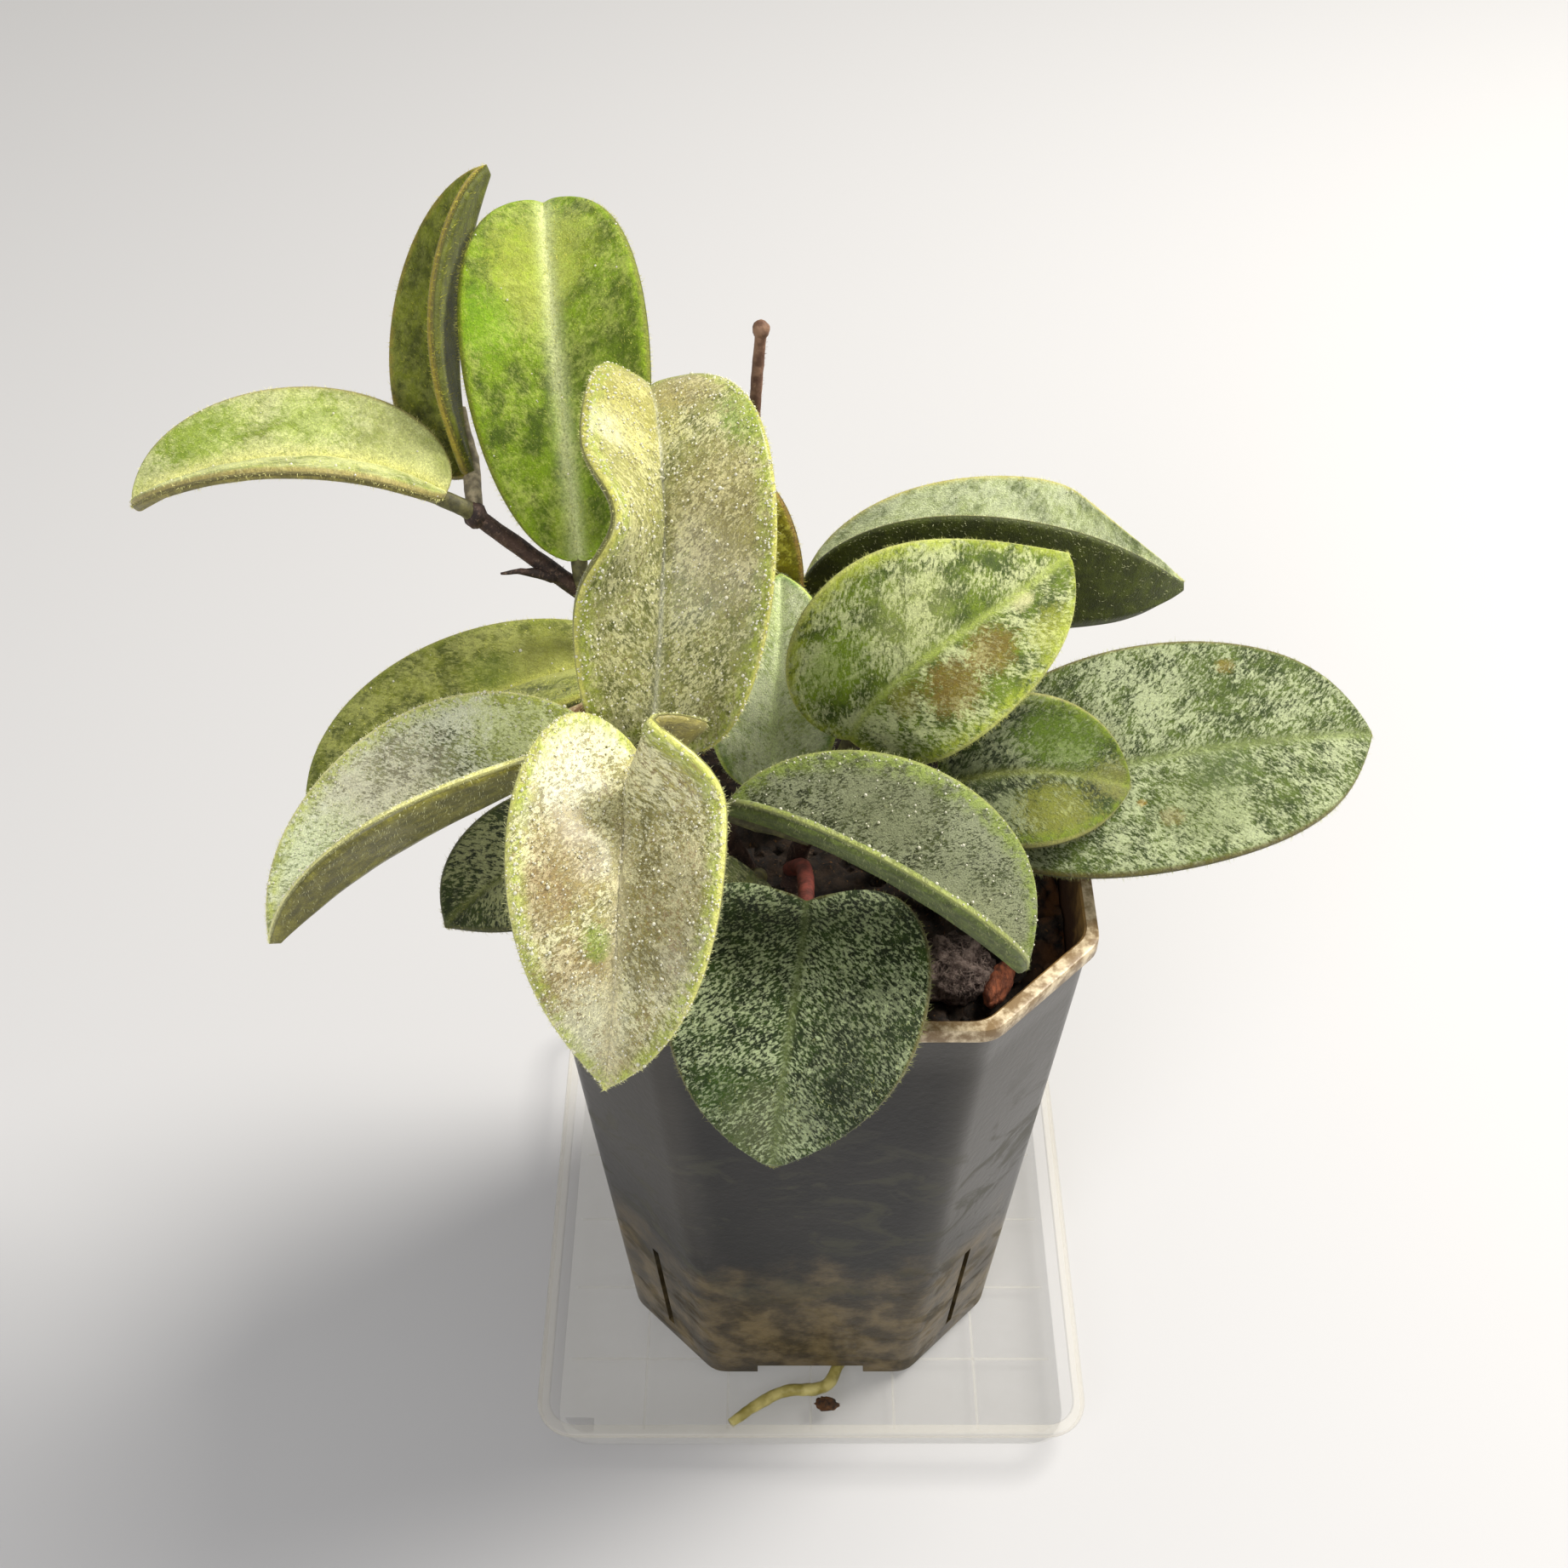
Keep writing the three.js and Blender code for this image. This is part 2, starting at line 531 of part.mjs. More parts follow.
function potSolid() {
  const bandLow = POT_TOP - POT_BAND.height;
  const wall = loft([potRing(DISH_FLOOR, 0), potRing(bandLow, 0)]);
  const rim = (z) => cutSquare(POT_RIM_WIDTH, POT_RIM_CUT, z);
  const band = loft([potRing(bandLow - POT_BAND.reach, 0), rim(bandLow), rim(POT_TOP)]);
  const inside = loft([potRing(POT_FLOOR_UNDER + POT_FLOOR, POT_WALL), potRing(POT_TOP + PAST, POT_WALL)]);
  const under = loft([potRing(DISH_FLOOR - PAST, POT_FOOT_WALL), potRing(POT_FLOOR_UNDER, POT_FOOT_WALL)]);
  let pot = wall.add(band).subtract(inside).subtract(under);
  const notch = [POT_NOTCH.width, POT_FOOT_WIDTH + POT_NOTCH.past, 2 * POT_NOTCH.height];
  pot = pot.subtract(box(notch, [0, 0, DISH_FLOOR])).subtract(box(notch, [0, 0, DISH_FLOOR], 90));
  const slotHeight = POT_SLOT.top - POT_SLOT.bottom;
  const middle = (POT_SLOT.top + POT_SLOT.bottom) / 2;
  for (const [x, y] of [[1, 1], [-1, 1], [-1, -1], [1, -1]]) {
    const out = (POT_FOOT_WIDTH - POT_FOOT_CUT) / 2 + POT_SLOT.out;
    const size = [POT_SLOT.depth, POT_SLOT.width, slotHeight];
    const slot = box(size, [x * out, y * out, middle], x * y * 45);
    const center = [x * DRAIN_HOLE.out, y * DRAIN_HOLE.out, POT_FLOOR_UNDER];
    const hole = drum(DRAIN_HOLE.radius, DRAIN_HOLE.sides, 3 * POT_FLOOR, center);
    pot = pot.subtract(slot).subtract(hole);
  }
  return pot;
}

function largest(solid) {
  return solid.decompose().reduce((best, body) => (body.volume() > best.volume() ? body : best));
}

// Random numbers that are the same on every run
function seeded(seed) {
  let state = seed;
  return () => {
    state = (state * RANDOM_FACTOR) % RANDOM_RANGE;
    return state / RANDOM_RANGE;
  };
}

function soilHeight(x, y) {
  const w = SOIL_WAVE;
  const swell = Math.sin(w.x * x + w.start) * Math.cos(w.y * y)
    + w.fine * Math.sin(w.fineX * x - w.fineY * y + w.fineStart);
  return SOIL_TOP - SOIL_SINK + SOIL_SWELL * swell;
}

function soilSolid() {
  const wide = POT_RIM_WIDTH + SOIL_PAST;
  const points = [];
  const triangles = [];
  const row = SOIL_STEPS + 1;
  for (let i = 0; i < row; i += 1) {
    for (let j = 0; j < row; j += 1) {
      const x = (j / SOIL_STEPS - 0.5) * wide;
      const y = (i / SOIL_STEPS - 0.5) * wide;
      points.push([x, y, soilHeight(x, y)]);
    }
  }
  for (let i = 0; i < SOIL_STEPS; i += 1) {
    for (let j = 0; j < SOIL_STEPS; j += 1) {
      const a = i * row + j;
      triangles.push([a, a + 1, a + row + 1], [a, a + row + 1, a + row]);
    }
  }
  const deep = points.push([0, 0, -SOIL_DEPTH]) - 1;
  for (let k = 0; k < SOIL_STEPS; k += 1) {
    const far = SOIL_STEPS * row;
    triangles.push([k + 1, k, deep], [far + k, far + k + 1, deep]);
    triangles.push([k * row, (k + 1) * row, deep]);
    triangles.push([(k + 1) * row + SOIL_STEPS, k * row + SOIL_STEPS, deep]);
  }
  let soil = toSolid(points, triangles);
  const random = seeded(CRUMB_SEED);
  for (let k = 0; k < CRUMB_COUNT; k += 1) {
    const x = (random() - 0.5) * (POT_RIM_WIDTH - CRUMB_EDGE);
    const y = (random() - 0.5) * (POT_RIM_WIDTH - CRUMB_EDGE);
    const size = mix(CRUMB_SIZE[0], CRUMB_SIZE[1], random());
    const center = [x, y, soilHeight(x, y) + CRUMB_RAISE];
    const shape = { size: CRUMB_SHAPE.map((share) => size * share), lumps: CRUMB_LUMPS, detail: 0 };
    soil = soil.add(pebble({ center, ...shape, turn: 360 * random() }));
  }
  const bottom = POT_FLOOR_UNDER + POT_FLOOR + GAP;
  return soil.intersect(loft([potRing(bottom, POT_WALL + GAP), potRing(POT_TOP, POT_WALL + GAP)]));
}

const MATERIALS = {
  dish: [0xeef0ee, 0.08],
  pot: [0x4b4a4f, 0.35],
  soil: [0x2a211b, 0.95],
  fibre: [0x7c6a60, 0.95],
  bark: [0x7a3f26, 0.85],
  root: [0xb9b45e, 0.5],
  stem: [0x4a2f26, 0.7],
  leaf_silver: [0xa9b8a2, 0.55],
  leaf_bronze: [0xb3a983, 0.55],
  leaf_green: [0x6f9440, 0.5],
  leaf_dark: [0x47603a, 0.5],
};

const LEAF_COLORS = {
  leaf_centre_tall: 'leaf_bronze',
  leaf_front: 'leaf_bronze',
  leaf_behind_centre: 'leaf_bronze',
  leaf_top_green: 'leaf_green',
  leaf_top_level: 'leaf_green',
  leaf_right_middle: 'leaf_green',
  leaf_right_small: 'leaf_green',
  leaf_dark_front: 'leaf_dark',
  leaf_low_left: 'leaf_dark',
  leaf_young_low: 'leaf_dark',
  leaf_top_upright: 'leaf_dark',
};

const group = new THREE.Group();

function place(name, solid, color) {
  const [hex, roughness] = MATERIALS[color];
  const material = new THREE.MeshStandardMaterial({ color: hex, roughness, metalness: 0 });
  const mesh = new THREE.Mesh(toGeometry(solid), material);
  mesh.name = name;
  group.add(mesh);
}

const stems = Object.entries(STEMS);
const grownStems = stems.map(([, stem]) => stemSolid(stem, GAP));
const grownRoot = limb(ROOT.path, ROOT.radius, STALK_SIDES, ROOT_STEPS, GAP);

place('dish', dishSolid(), 'dish');
place('pot', potSolid(), 'pot');

let soil = soilSolid();
for (const grown of [...grownStems, grownRoot, pebble(CLUMP, GAP), pebble(CHIP, GAP)]) {
  soil = soil.subtract(grown);
}
place('soil', largest(soil), 'soil');
place('fibre_clump', pebble(CLUMP).subtract(pebble(CHIP, GAP)), 'fibre');
place('bark_chip', pebble(CHIP), 'bark');
place('root', limb(ROOT.path, ROOT.radius, STALK_SIDES, ROOT_STEPS), 'root');
place('soil_crumb', pebble(DISH_CRUMB).subtract(grownRoot), 'soil');

for (const [name, stem] of stems) {
  place(name, stemSolid(stem), 'stem');
}

function clear(solid) {
  return grownStems.reduce((left, grown) => left.subtract(grown), solid);
}

for (const [name, leaf] of Object.entries(LEAVES)) {
  const solid = clear(bladeSolid(leaf).add(stalkSolid(leaf)));
  place(name, largest(solid), LEAF_COLORS[name] ?? 'leaf_silver');
}

export default group;
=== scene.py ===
"""Looks of a potted grey ghost hoya: downy, dewy leaves and their pot, soil and dish on the CAD frame."""

import math
import random

import bpy
import numpy as np
from mathutils import Matrix, Vector, noise


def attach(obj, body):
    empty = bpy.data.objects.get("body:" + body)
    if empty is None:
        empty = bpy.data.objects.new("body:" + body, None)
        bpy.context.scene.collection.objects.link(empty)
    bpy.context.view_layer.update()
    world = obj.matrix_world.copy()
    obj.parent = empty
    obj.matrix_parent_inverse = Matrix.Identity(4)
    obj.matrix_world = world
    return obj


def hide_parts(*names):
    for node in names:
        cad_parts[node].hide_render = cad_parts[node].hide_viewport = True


# Lengths are in millimetres until a mesh is made.
MM = 0.001

CAMERA_PLACE = (-4.5, -206.0, 321.0)
CAMERA_TILT = 44.87
CAMERA_LENS = 46.9
SENSOR = 36.0

DISH_BASE_WIDTH = 86.0
DISH_RIM_WIDTH = 91.0
DISH_HEIGHT = 8.5
DISH_FLOOR = 1.8
DISH_WALL = 1.4
DISH_CORNER = 6.0
DISH_LIP = 1.4
DISH_LIP_REACH = 0.7
DISH_EDGE = 0.4
DISH_FLOOR_IN = 3
LIP_EDGE = 0.5
LIP_UNDER = (0.3, 0.2)
GRID_CELLS = 6
GRID_PITCH = 14.0
GRID_RIB = (0.45, 0.14)
GRID_SHORT = 2
LIP_RINGS = (2, 8)

POT_TOP = 107.0
POT_RIM_WIDTH = 78.0
POT_RIM_CUT = 15.5
POT_FOOT_WIDTH = 61.0
POT_FOOT_CUT = 14.2
POT_WALL = 1.1
POT_BAND = 2.6
POT_BAND_REACH = 0.8
POT_CORNER_ROUND = 2.0
POT_EDGE = 0.3
POT_BAND_EDGE = 0.15
POT_RIM_EDGE = (0.35, 0.1)
RIM_CUT_SHARE = 0.586
CURVE_STEPS = 4
POT_FOOT_EDGE = 0.35
POT_FLOOR_UNDER = DISH_FLOOR + 2.8
POT_FLOOR = 1.3
POT_NOTCH = (18.0, 2.6)
NOTCH_PAST = 10
WELL_PAST = 0.4
POT_SLOT_WIDTH = 1.4
POT_SLOT_DEPTH = 8
POT_SLOT_OUT = 1
POT_SLOT_TOP = 32.0
POT_SLOT_BOTTOM = DISH_FLOOR + 5.0
DRAIN_RADIUS = 3.5
DRAIN_OUT = 10.0
SHARP_ANGLE = {"pot": 32, "dish": 40}

SOIL_TOP = 97.0
SOIL_CELLS = 150
SOIL_CRUMBS = 420
SOIL_GAP = 0.3
SOIL_DOWN = 1
SOIL_WAVE = 1.1
CRUMB_SIZES = (0.5, 0.7, 0.9, 1.2, 1.7, 2.3)
CLUMP_FIBRES = 420
FIBRE_SIZE = (0.9, 0.16)
FIBRE_STEPS = 5

STEM_BURIED = 16.0
BARK_GRAIN = 0.9
NODE_SWELL = 1.5
NODE_LENGTH = 1.2
STEM_HAIRS = 700

BLADE_HALF = 0.8
ROWS = 76
INNER_COLUMNS = 18
RIM_COLUMNS = 5
THIN_SHARE = 0.5
MOST_RIM = 0.6
LEAST_CURL = 0.1
NORMAL_STEP = 0.004
NORMAL_ENDS = (0.001, 0.999)
GROOVE_WIDTH = 0.9
VEIN_PITCH = 6.5
VEIN_SLANT = 0.75
# The veins fade this near the margin and this near the rib.
VEIN_FADE = (3, 2.5)
LUMP_WIDTH = 5
LUMP_FADE = 2
# How far in from the margin the bead runs, and how wide it is.
BEAD = (1.1, 0.7)
# How high the groove or keel, the veins, the lumps and the margin's bead are.
UPPER_RELIEF = (-0.3, -0.05, 0.16, 0.1)
UNDER_RELIEF = (0.28, 0.04, 0.1, 0)
STALK_RADIUS = 1.15
STALK_END_RADIUS = 0.5
STALK_REACH = (0.07, 0.16, 0.26)
STALK_DROP = 0.95
STALK_LEAD = 0.35
STALK_BEND = 0.25
TIP_REACH = 0.05

MUCH_DEW = 400

HAIR_DENSITY = 2.1
HAIR_LENGTH = (0.25, 0.6)
HAIR_WIDTH = 0.05
MARGIN_HAIRS = 9.0
UPPER_HAIRS = 0.62
BLADE_FILL = 0.75
HAIR_FACES = 1.6
HAIR_WAY = (0.8, 0.5, 0.35)
FRINGE_LENGTH = (0.3, 0.7)
FRINGE_SPREAD = (0.7, 0.3)
HAIR_SINK = 0.04
DEW_RADIUS = (0.08, 0.17)
# The share of droplets that stay small, and how much larger the others are.
LARGE_DEW = (0.94, 0.09)

# Looks. A pair says where a mark is absent and where it is full, mostly in millimetres.
NATURAL = 2.718
FACES_APART = 31.0
LEAVES_APART = 17.3
SPOT_NARROW = 0.8
SPOT_WANDER = 6.0
SPOT_EDGE = (1.5, 0.1)
RIM_EDGE = (0.75, 0.15)
SOIL_CRUST = (29.0, 36.0)
WALL_CRUST = (98.5, 92.5)
POT_DUST = (92.0, 60.0)
POT_STAIN = (66.0, 44.0)
# Painted highlight on the pot's corner faces: how far from the corner it fades, then the heights where it fades
# in.
POT_CORNER_HIGHLIGHT = (21.0, 13.0)
POT_CORNER_HIGHLIGHT_RISE = (24.0, 70.0)
POT_FILM = (78.0, 104.0)
POT_RIM_BAND = (103.6, 104.4)

LEAF_SEED = 100
STEM_SEED = 300
SOIL_SEED = 8
FIBRE_SEED = 5

STUDIO_SIZE = 6.0
SKY_STRENGTH = 0.5

# Stems: path, radius at each point, points that carry leaves, and a spur if there is one.
STEMS = {
    "stem_left_long": {
        "path": [(-2, 8, 97), (-15, 10, 124), (-31, 8, 142), (-45, 8, 156)],
        "radius": [1.5, 1.4, 1.3, 1.1],
        "nodes": [1, 2, 3],
        "spur": [(-35, 7.5, 146), (-39.5, 5.5, 148.5), (-42, 4.5, 149)],
    },
    "stem_centre": {
        "path": [(-9, -5, 97), (-14, -9, 116), (-19, -16, 133), (-21, -25, 144)],
        "radius": [1.5, 1.4, 1.35, 1.2],
        "nodes": [1, 2, 3],
    },
    "stem_inner": {
        "path": [(-3.5, -3.5, 97), (-1, -2.5, 107), (4, -3, 117)],
        "radius": [1.5, 1.4, 1.2],
        "nodes": [1, 2],
    },
    "stem_right": {
        "path": [(11, 0, 97), (12, -1, 106), (12.5, -3, 114)],
        "radius": [1.4, 1.3, 1.2],
        "nodes": [1, 2],
    },
    "runner": {
        "path": [(-3.5, 13, 97), (-5, 19, 114), (-8, 25, 142), (-8.5, 23, 160), (-7.5, 25.5, 173)],
        "radius": [1.1, 1.0, 0.85, 0.8, 0.8],
        "nodes": [1, 4],
    },
}
SPUR_RADIUS = [0.9, 0.45, 0.15]

# Leaves. rib: midrib from base to tip, as a Bezier curve. face: which way the upper side looks at base
# and tip. round: how the outline narrows to base and tip, from blunt to sharp; round_left: the same for the
# left half. point: how slender the tip is. fold and curl: degrees, right half base and tip, then left.
# crease: half, degrees, place, reach. sides: how wide the halves are, as fold. lobe: how far the base lobes
# of the right and the left half reach back.
LEAVES = {
    "leaf_centre_tall": {
        "stalk": (-21, -25, 144),
        "rib": [(-21, -23, 145.5), (-18.5, -18.5, 164), (-18.5, -5, 182), (-21.5, 9, 174.5)],
        "face": [(0.1, -0.9, 0.5), (0, -0.3, 1)],
        "width": 28, "round": (0.34, 0.36), "fold": (18, 14, 20, 54), "curl": (-10, -20, -10, -20),
        "crease": (-1, 34, 0.49, 0.11), "sides": (1, 1, 0.86, 0.86), "lobe": (5, 5),
    },
    "leaf_front": {
        "stalk": (-21, -25, 144),
        "rib": [(-22, -29.8, 148.5), (-24.4, -47.7, 148.1), (-22.6, -59, 144.5), (-25.5, -63.1, 126.8)],
        "face": [(-0.1, -0.4, 0.9), (-0.05, -0.6, 0.8)],
        "width": 29, "round": (0.39, 0.86), "round_left": (0.3, 0.69), "point": 0.5,
        "fold": (43, 19, 43, 5), "curl": (-15, -10, -15, -10),
        "crease": (-1, 42, 0.16, 0.06), "sides": (0.95, 1.03, 0.98, 0.95), "lobe": (9, 6),
    },
    "leaf_left_front": {
        "stalk": (-19, -16, 133),
        "rib": [(-27.5, -19, 140.5), (-42, -31.5, 142), (-55, -33, 137.5), (-67.5, -43.5, 130)],
        "face": [(0.1, 0.25, 1), (-0.5, 0.1, 0.8)],
        "width": 29, "round": (0.5, 0.66), "point": 0.4, "fold": (42, 48, 42, 48),
    },
    "leaf_right_front": {
        "stalk": (-19, -16, 133),
        "rib": [(-12, -23, 133), (2.5, -26, 130.5), (16, -32, 124.5), (27, -35.5, 115.5)],
        "face": [(-0.2, 0.2, 1), (0.4, 0.1, 0.8)],
        "width": 27, "round": (0.46, 0.5), "round_left": (0.66, 0.5), "point": 0.5,
        "fold": (45, 40, 45, 40), "sides": (1, 1, 1.2, 1.1),
    },
    "leaf_left_back": {
        "stalk": (-15, 10, 124),
        "rib": [(-25, 8.5, 131), (-42.5, -1.5, 135), (-58.5, -11, 134), (-68, -16.5, 123.5)],
        "face": [(0.1, 0, 1), (-0.5, -0.1, 0.8)],
        "width": 23, "round": (0.5, 0.56), "point": 0.4, "fold": (20, 15, 20, 15),
    },
    "leaf_dark_front": {
        "stalk": (-3.5, -3.5, 100),
        "rib": [(-1.5, -25, 116.5), (-2.5, -44, 123), (-5, -53.5, 117.5), (-6, -55, 99)],
        "face": [(0, -0.3, 1), (0, -0.7, 0.7)],
        "width": 34, "round": (0.33, 0.6), "point": 0.8, "fold": (5, 0, 5, 0),
        "curl": (0, -10, 0, -10), "lobe": (8, 8),
    },
    "leaf_right_large": {
        "stalk": (12, -1, 106),
        "rib": [(20, -5.5, 114.5), (38, -4, 121.5), (58.5, -0.5, 123.5), (79, 3.5, 120.5)],
        "face": [(0, -0.4, 1), (0.1, -0.5, 0.9)],
        "width": 33.5, "round": (0.42, 0.48), "point": 0.6, "fold": (5, 3, 5, 3),
    },
    "leaf_right_small": {
        "stalk": (12.5, -3, 114),
        "rib": [(17.5, -6.5, 120), (25.5, -7, 124.5), (35, -7.5, 124.5), (43.5, -7, 120.5)],
        "face": [(0, -0.5, 0.9), (0, -0.5, 0.9)],
        "width": 22.5, "round": (0.45, 0.62), "point": 0.5, "fold": (10, 5, 10, 5),
    },
    "leaf_right_middle": {
        "stalk": (4, -3, 117),
        "rib": [(4.5, -6, 129), (8.5, -7.5, 143.5), (23.5, 0.5, 144), (35, 16.5, 143)],
        "face": [(0, -0.7, 0.7), (0.1, -0.6, 0.8)],
        "width": 27.5, "round": (0.31, 0.55), "round_left": (0.53, 0.77), "point": 0.6,
        "fold": (9, -8, 19, -3), "sides": (0.86, 1.05, 1.32, 0.92),
    },
    "leaf_right_back": {
        "stalk": (-5, 19, 114),
        "rib": [(0, 23, 119), (14.5, 25, 131), (42, 15, 123), (55.5, 31.5, 125.5)],
        "face": [(-0.1, 0.6, 0.8), (0.1, 0.6, 0.8)],
        "width": 34, "round": (0.4, 0.7), "round_left": (0.4, 0.42), "point": 0.6,
        "fold": (68, 66, 68, 66), "curl": (8, 8, 0, 0), "sides": (0.9, 1.05, 1.3, 1.4),
    },
    "leaf_centre_silver": {
        "stalk": (-1, -2.5, 107),
        "rib": [(-5.5, -3.5, 117), (-7, -1.5, 127), (-4.5, 6.5, 134), (-5, 17.5, 138.5)],
        "face": [(0, -0.8, 0.6), (0, -0.6, 0.8)],
        "width": 18.5, "round": (0.45, 0.64), "point": 0.5, "fold": (12, 8, 12, 8),
    },
    "leaf_behind_centre": {
        "stalk": (-5, 19, 114),
        "rib": [(-7.5, 18.5, 121), (-9, 19, 134.5), (-9, 20, 142), (-8, 25, 149.5)],
        "face": [(-0.1, -0.8, 0.5), (-0.1, -0.8, 0.5)],
        "width": 14.5, "round": (0.5, 0.6), "fold": (12, 8, 12, 8),
    },
    "leaf_top_level": {
        "stalk": (-45, 8, 156),
        "rib": [(-48.5, 7.5, 159.5), (-58, 9, 166.5), (-76.5, 9, 166), (-89, 6.5, 158.5)],
        "face": [(0, 0, 1), (-0.3, 0, 0.9)],
        "width": 21, "round": (0.45, 0.45), "point": 0.5, "fold": (28, 26, 28, 26),
    },
    "leaf_top_upright": {
        "stalk": (-45, 8, 156),
        "rib": [(-46, 12.5, 159), (-49.5, 22, 165), (-49.5, 31.5, 176.5), (-43.5, 40.5, 188.5)],
        "face": [(-0.8, -0.2, 0.5), (-0.8, -0.2, 0.4)],
        "width": 20, "round": (0.5, 0.56), "point": 0.4, "fold": (35, 35, 35, 35),
    },
    "leaf_top_green": {
        "stalk": (-31, 8, 142),
        "rib": [(-32, 8, 148.5), (-32.5, 11.5, 167.5), (-35, 25.5, 181.5), (-36.5, 40.5, 182.5)],
        "face": [(0, -0.8, 0.6), (0, -0.5, 0.9)],
        "width": 25, "round": (0.5, 0.42), "fold": (10, 14, 10, 14),
    },
    "leaf_low_left": {
        "stalk": (-14, -9, 116),
        "rib": [(-20, -19, 119), (-29.5, -24, 127), (-39.5, -26, 128), (-48, -34, 122)],
        "face": [(0, -0.3, 0.9), (0, -0.3, 0.9)],
        "width": 20, "round": (0.5, 0.56), "point": 0.6, "fold": (10, 5, 10, 5),
    },
    "leaf_young_low": {
        "stalk": (-9, -5, 100),
        "rib": [(-8.5, -14, 109), (-10, -20, 114), (-12.5, -22, 116), (-15, -26, 115)],
        "face": [(0.2, -0.3, 0.9), (0.2, -0.3, 0.9)],
        "width": 12, "round": (0.5, 0.5), "fold": (10, 5, 10, 5),
    },
}

# How each leaf is coloured. deep and ground: the green below. silver and cover: the flecks over it and how
# much they cover. size: flecks per millimetre. speck: small dark marks. margin, rim, rib, under: their
# colours. dew: droplets. patches: place along (0 to 1), place across (-1 to 1), reach in mm, colour, strength.
USUAL_LOOK = {
    "cover": 0.45, "veil": 0.8, "soft": 0.05, "patchy": 0.2, "size": 2.0, "speck": 0.3,
    "margin_width": 1.2, "rib_width": 0.7, "dew": 0, "patches": [],
}


def look(slot, deep, ground, silver, **rest):
    return {**USUAL_LOOK, "slot": slot, "deep": deep, "ground": ground, "silver": silver, **rest}


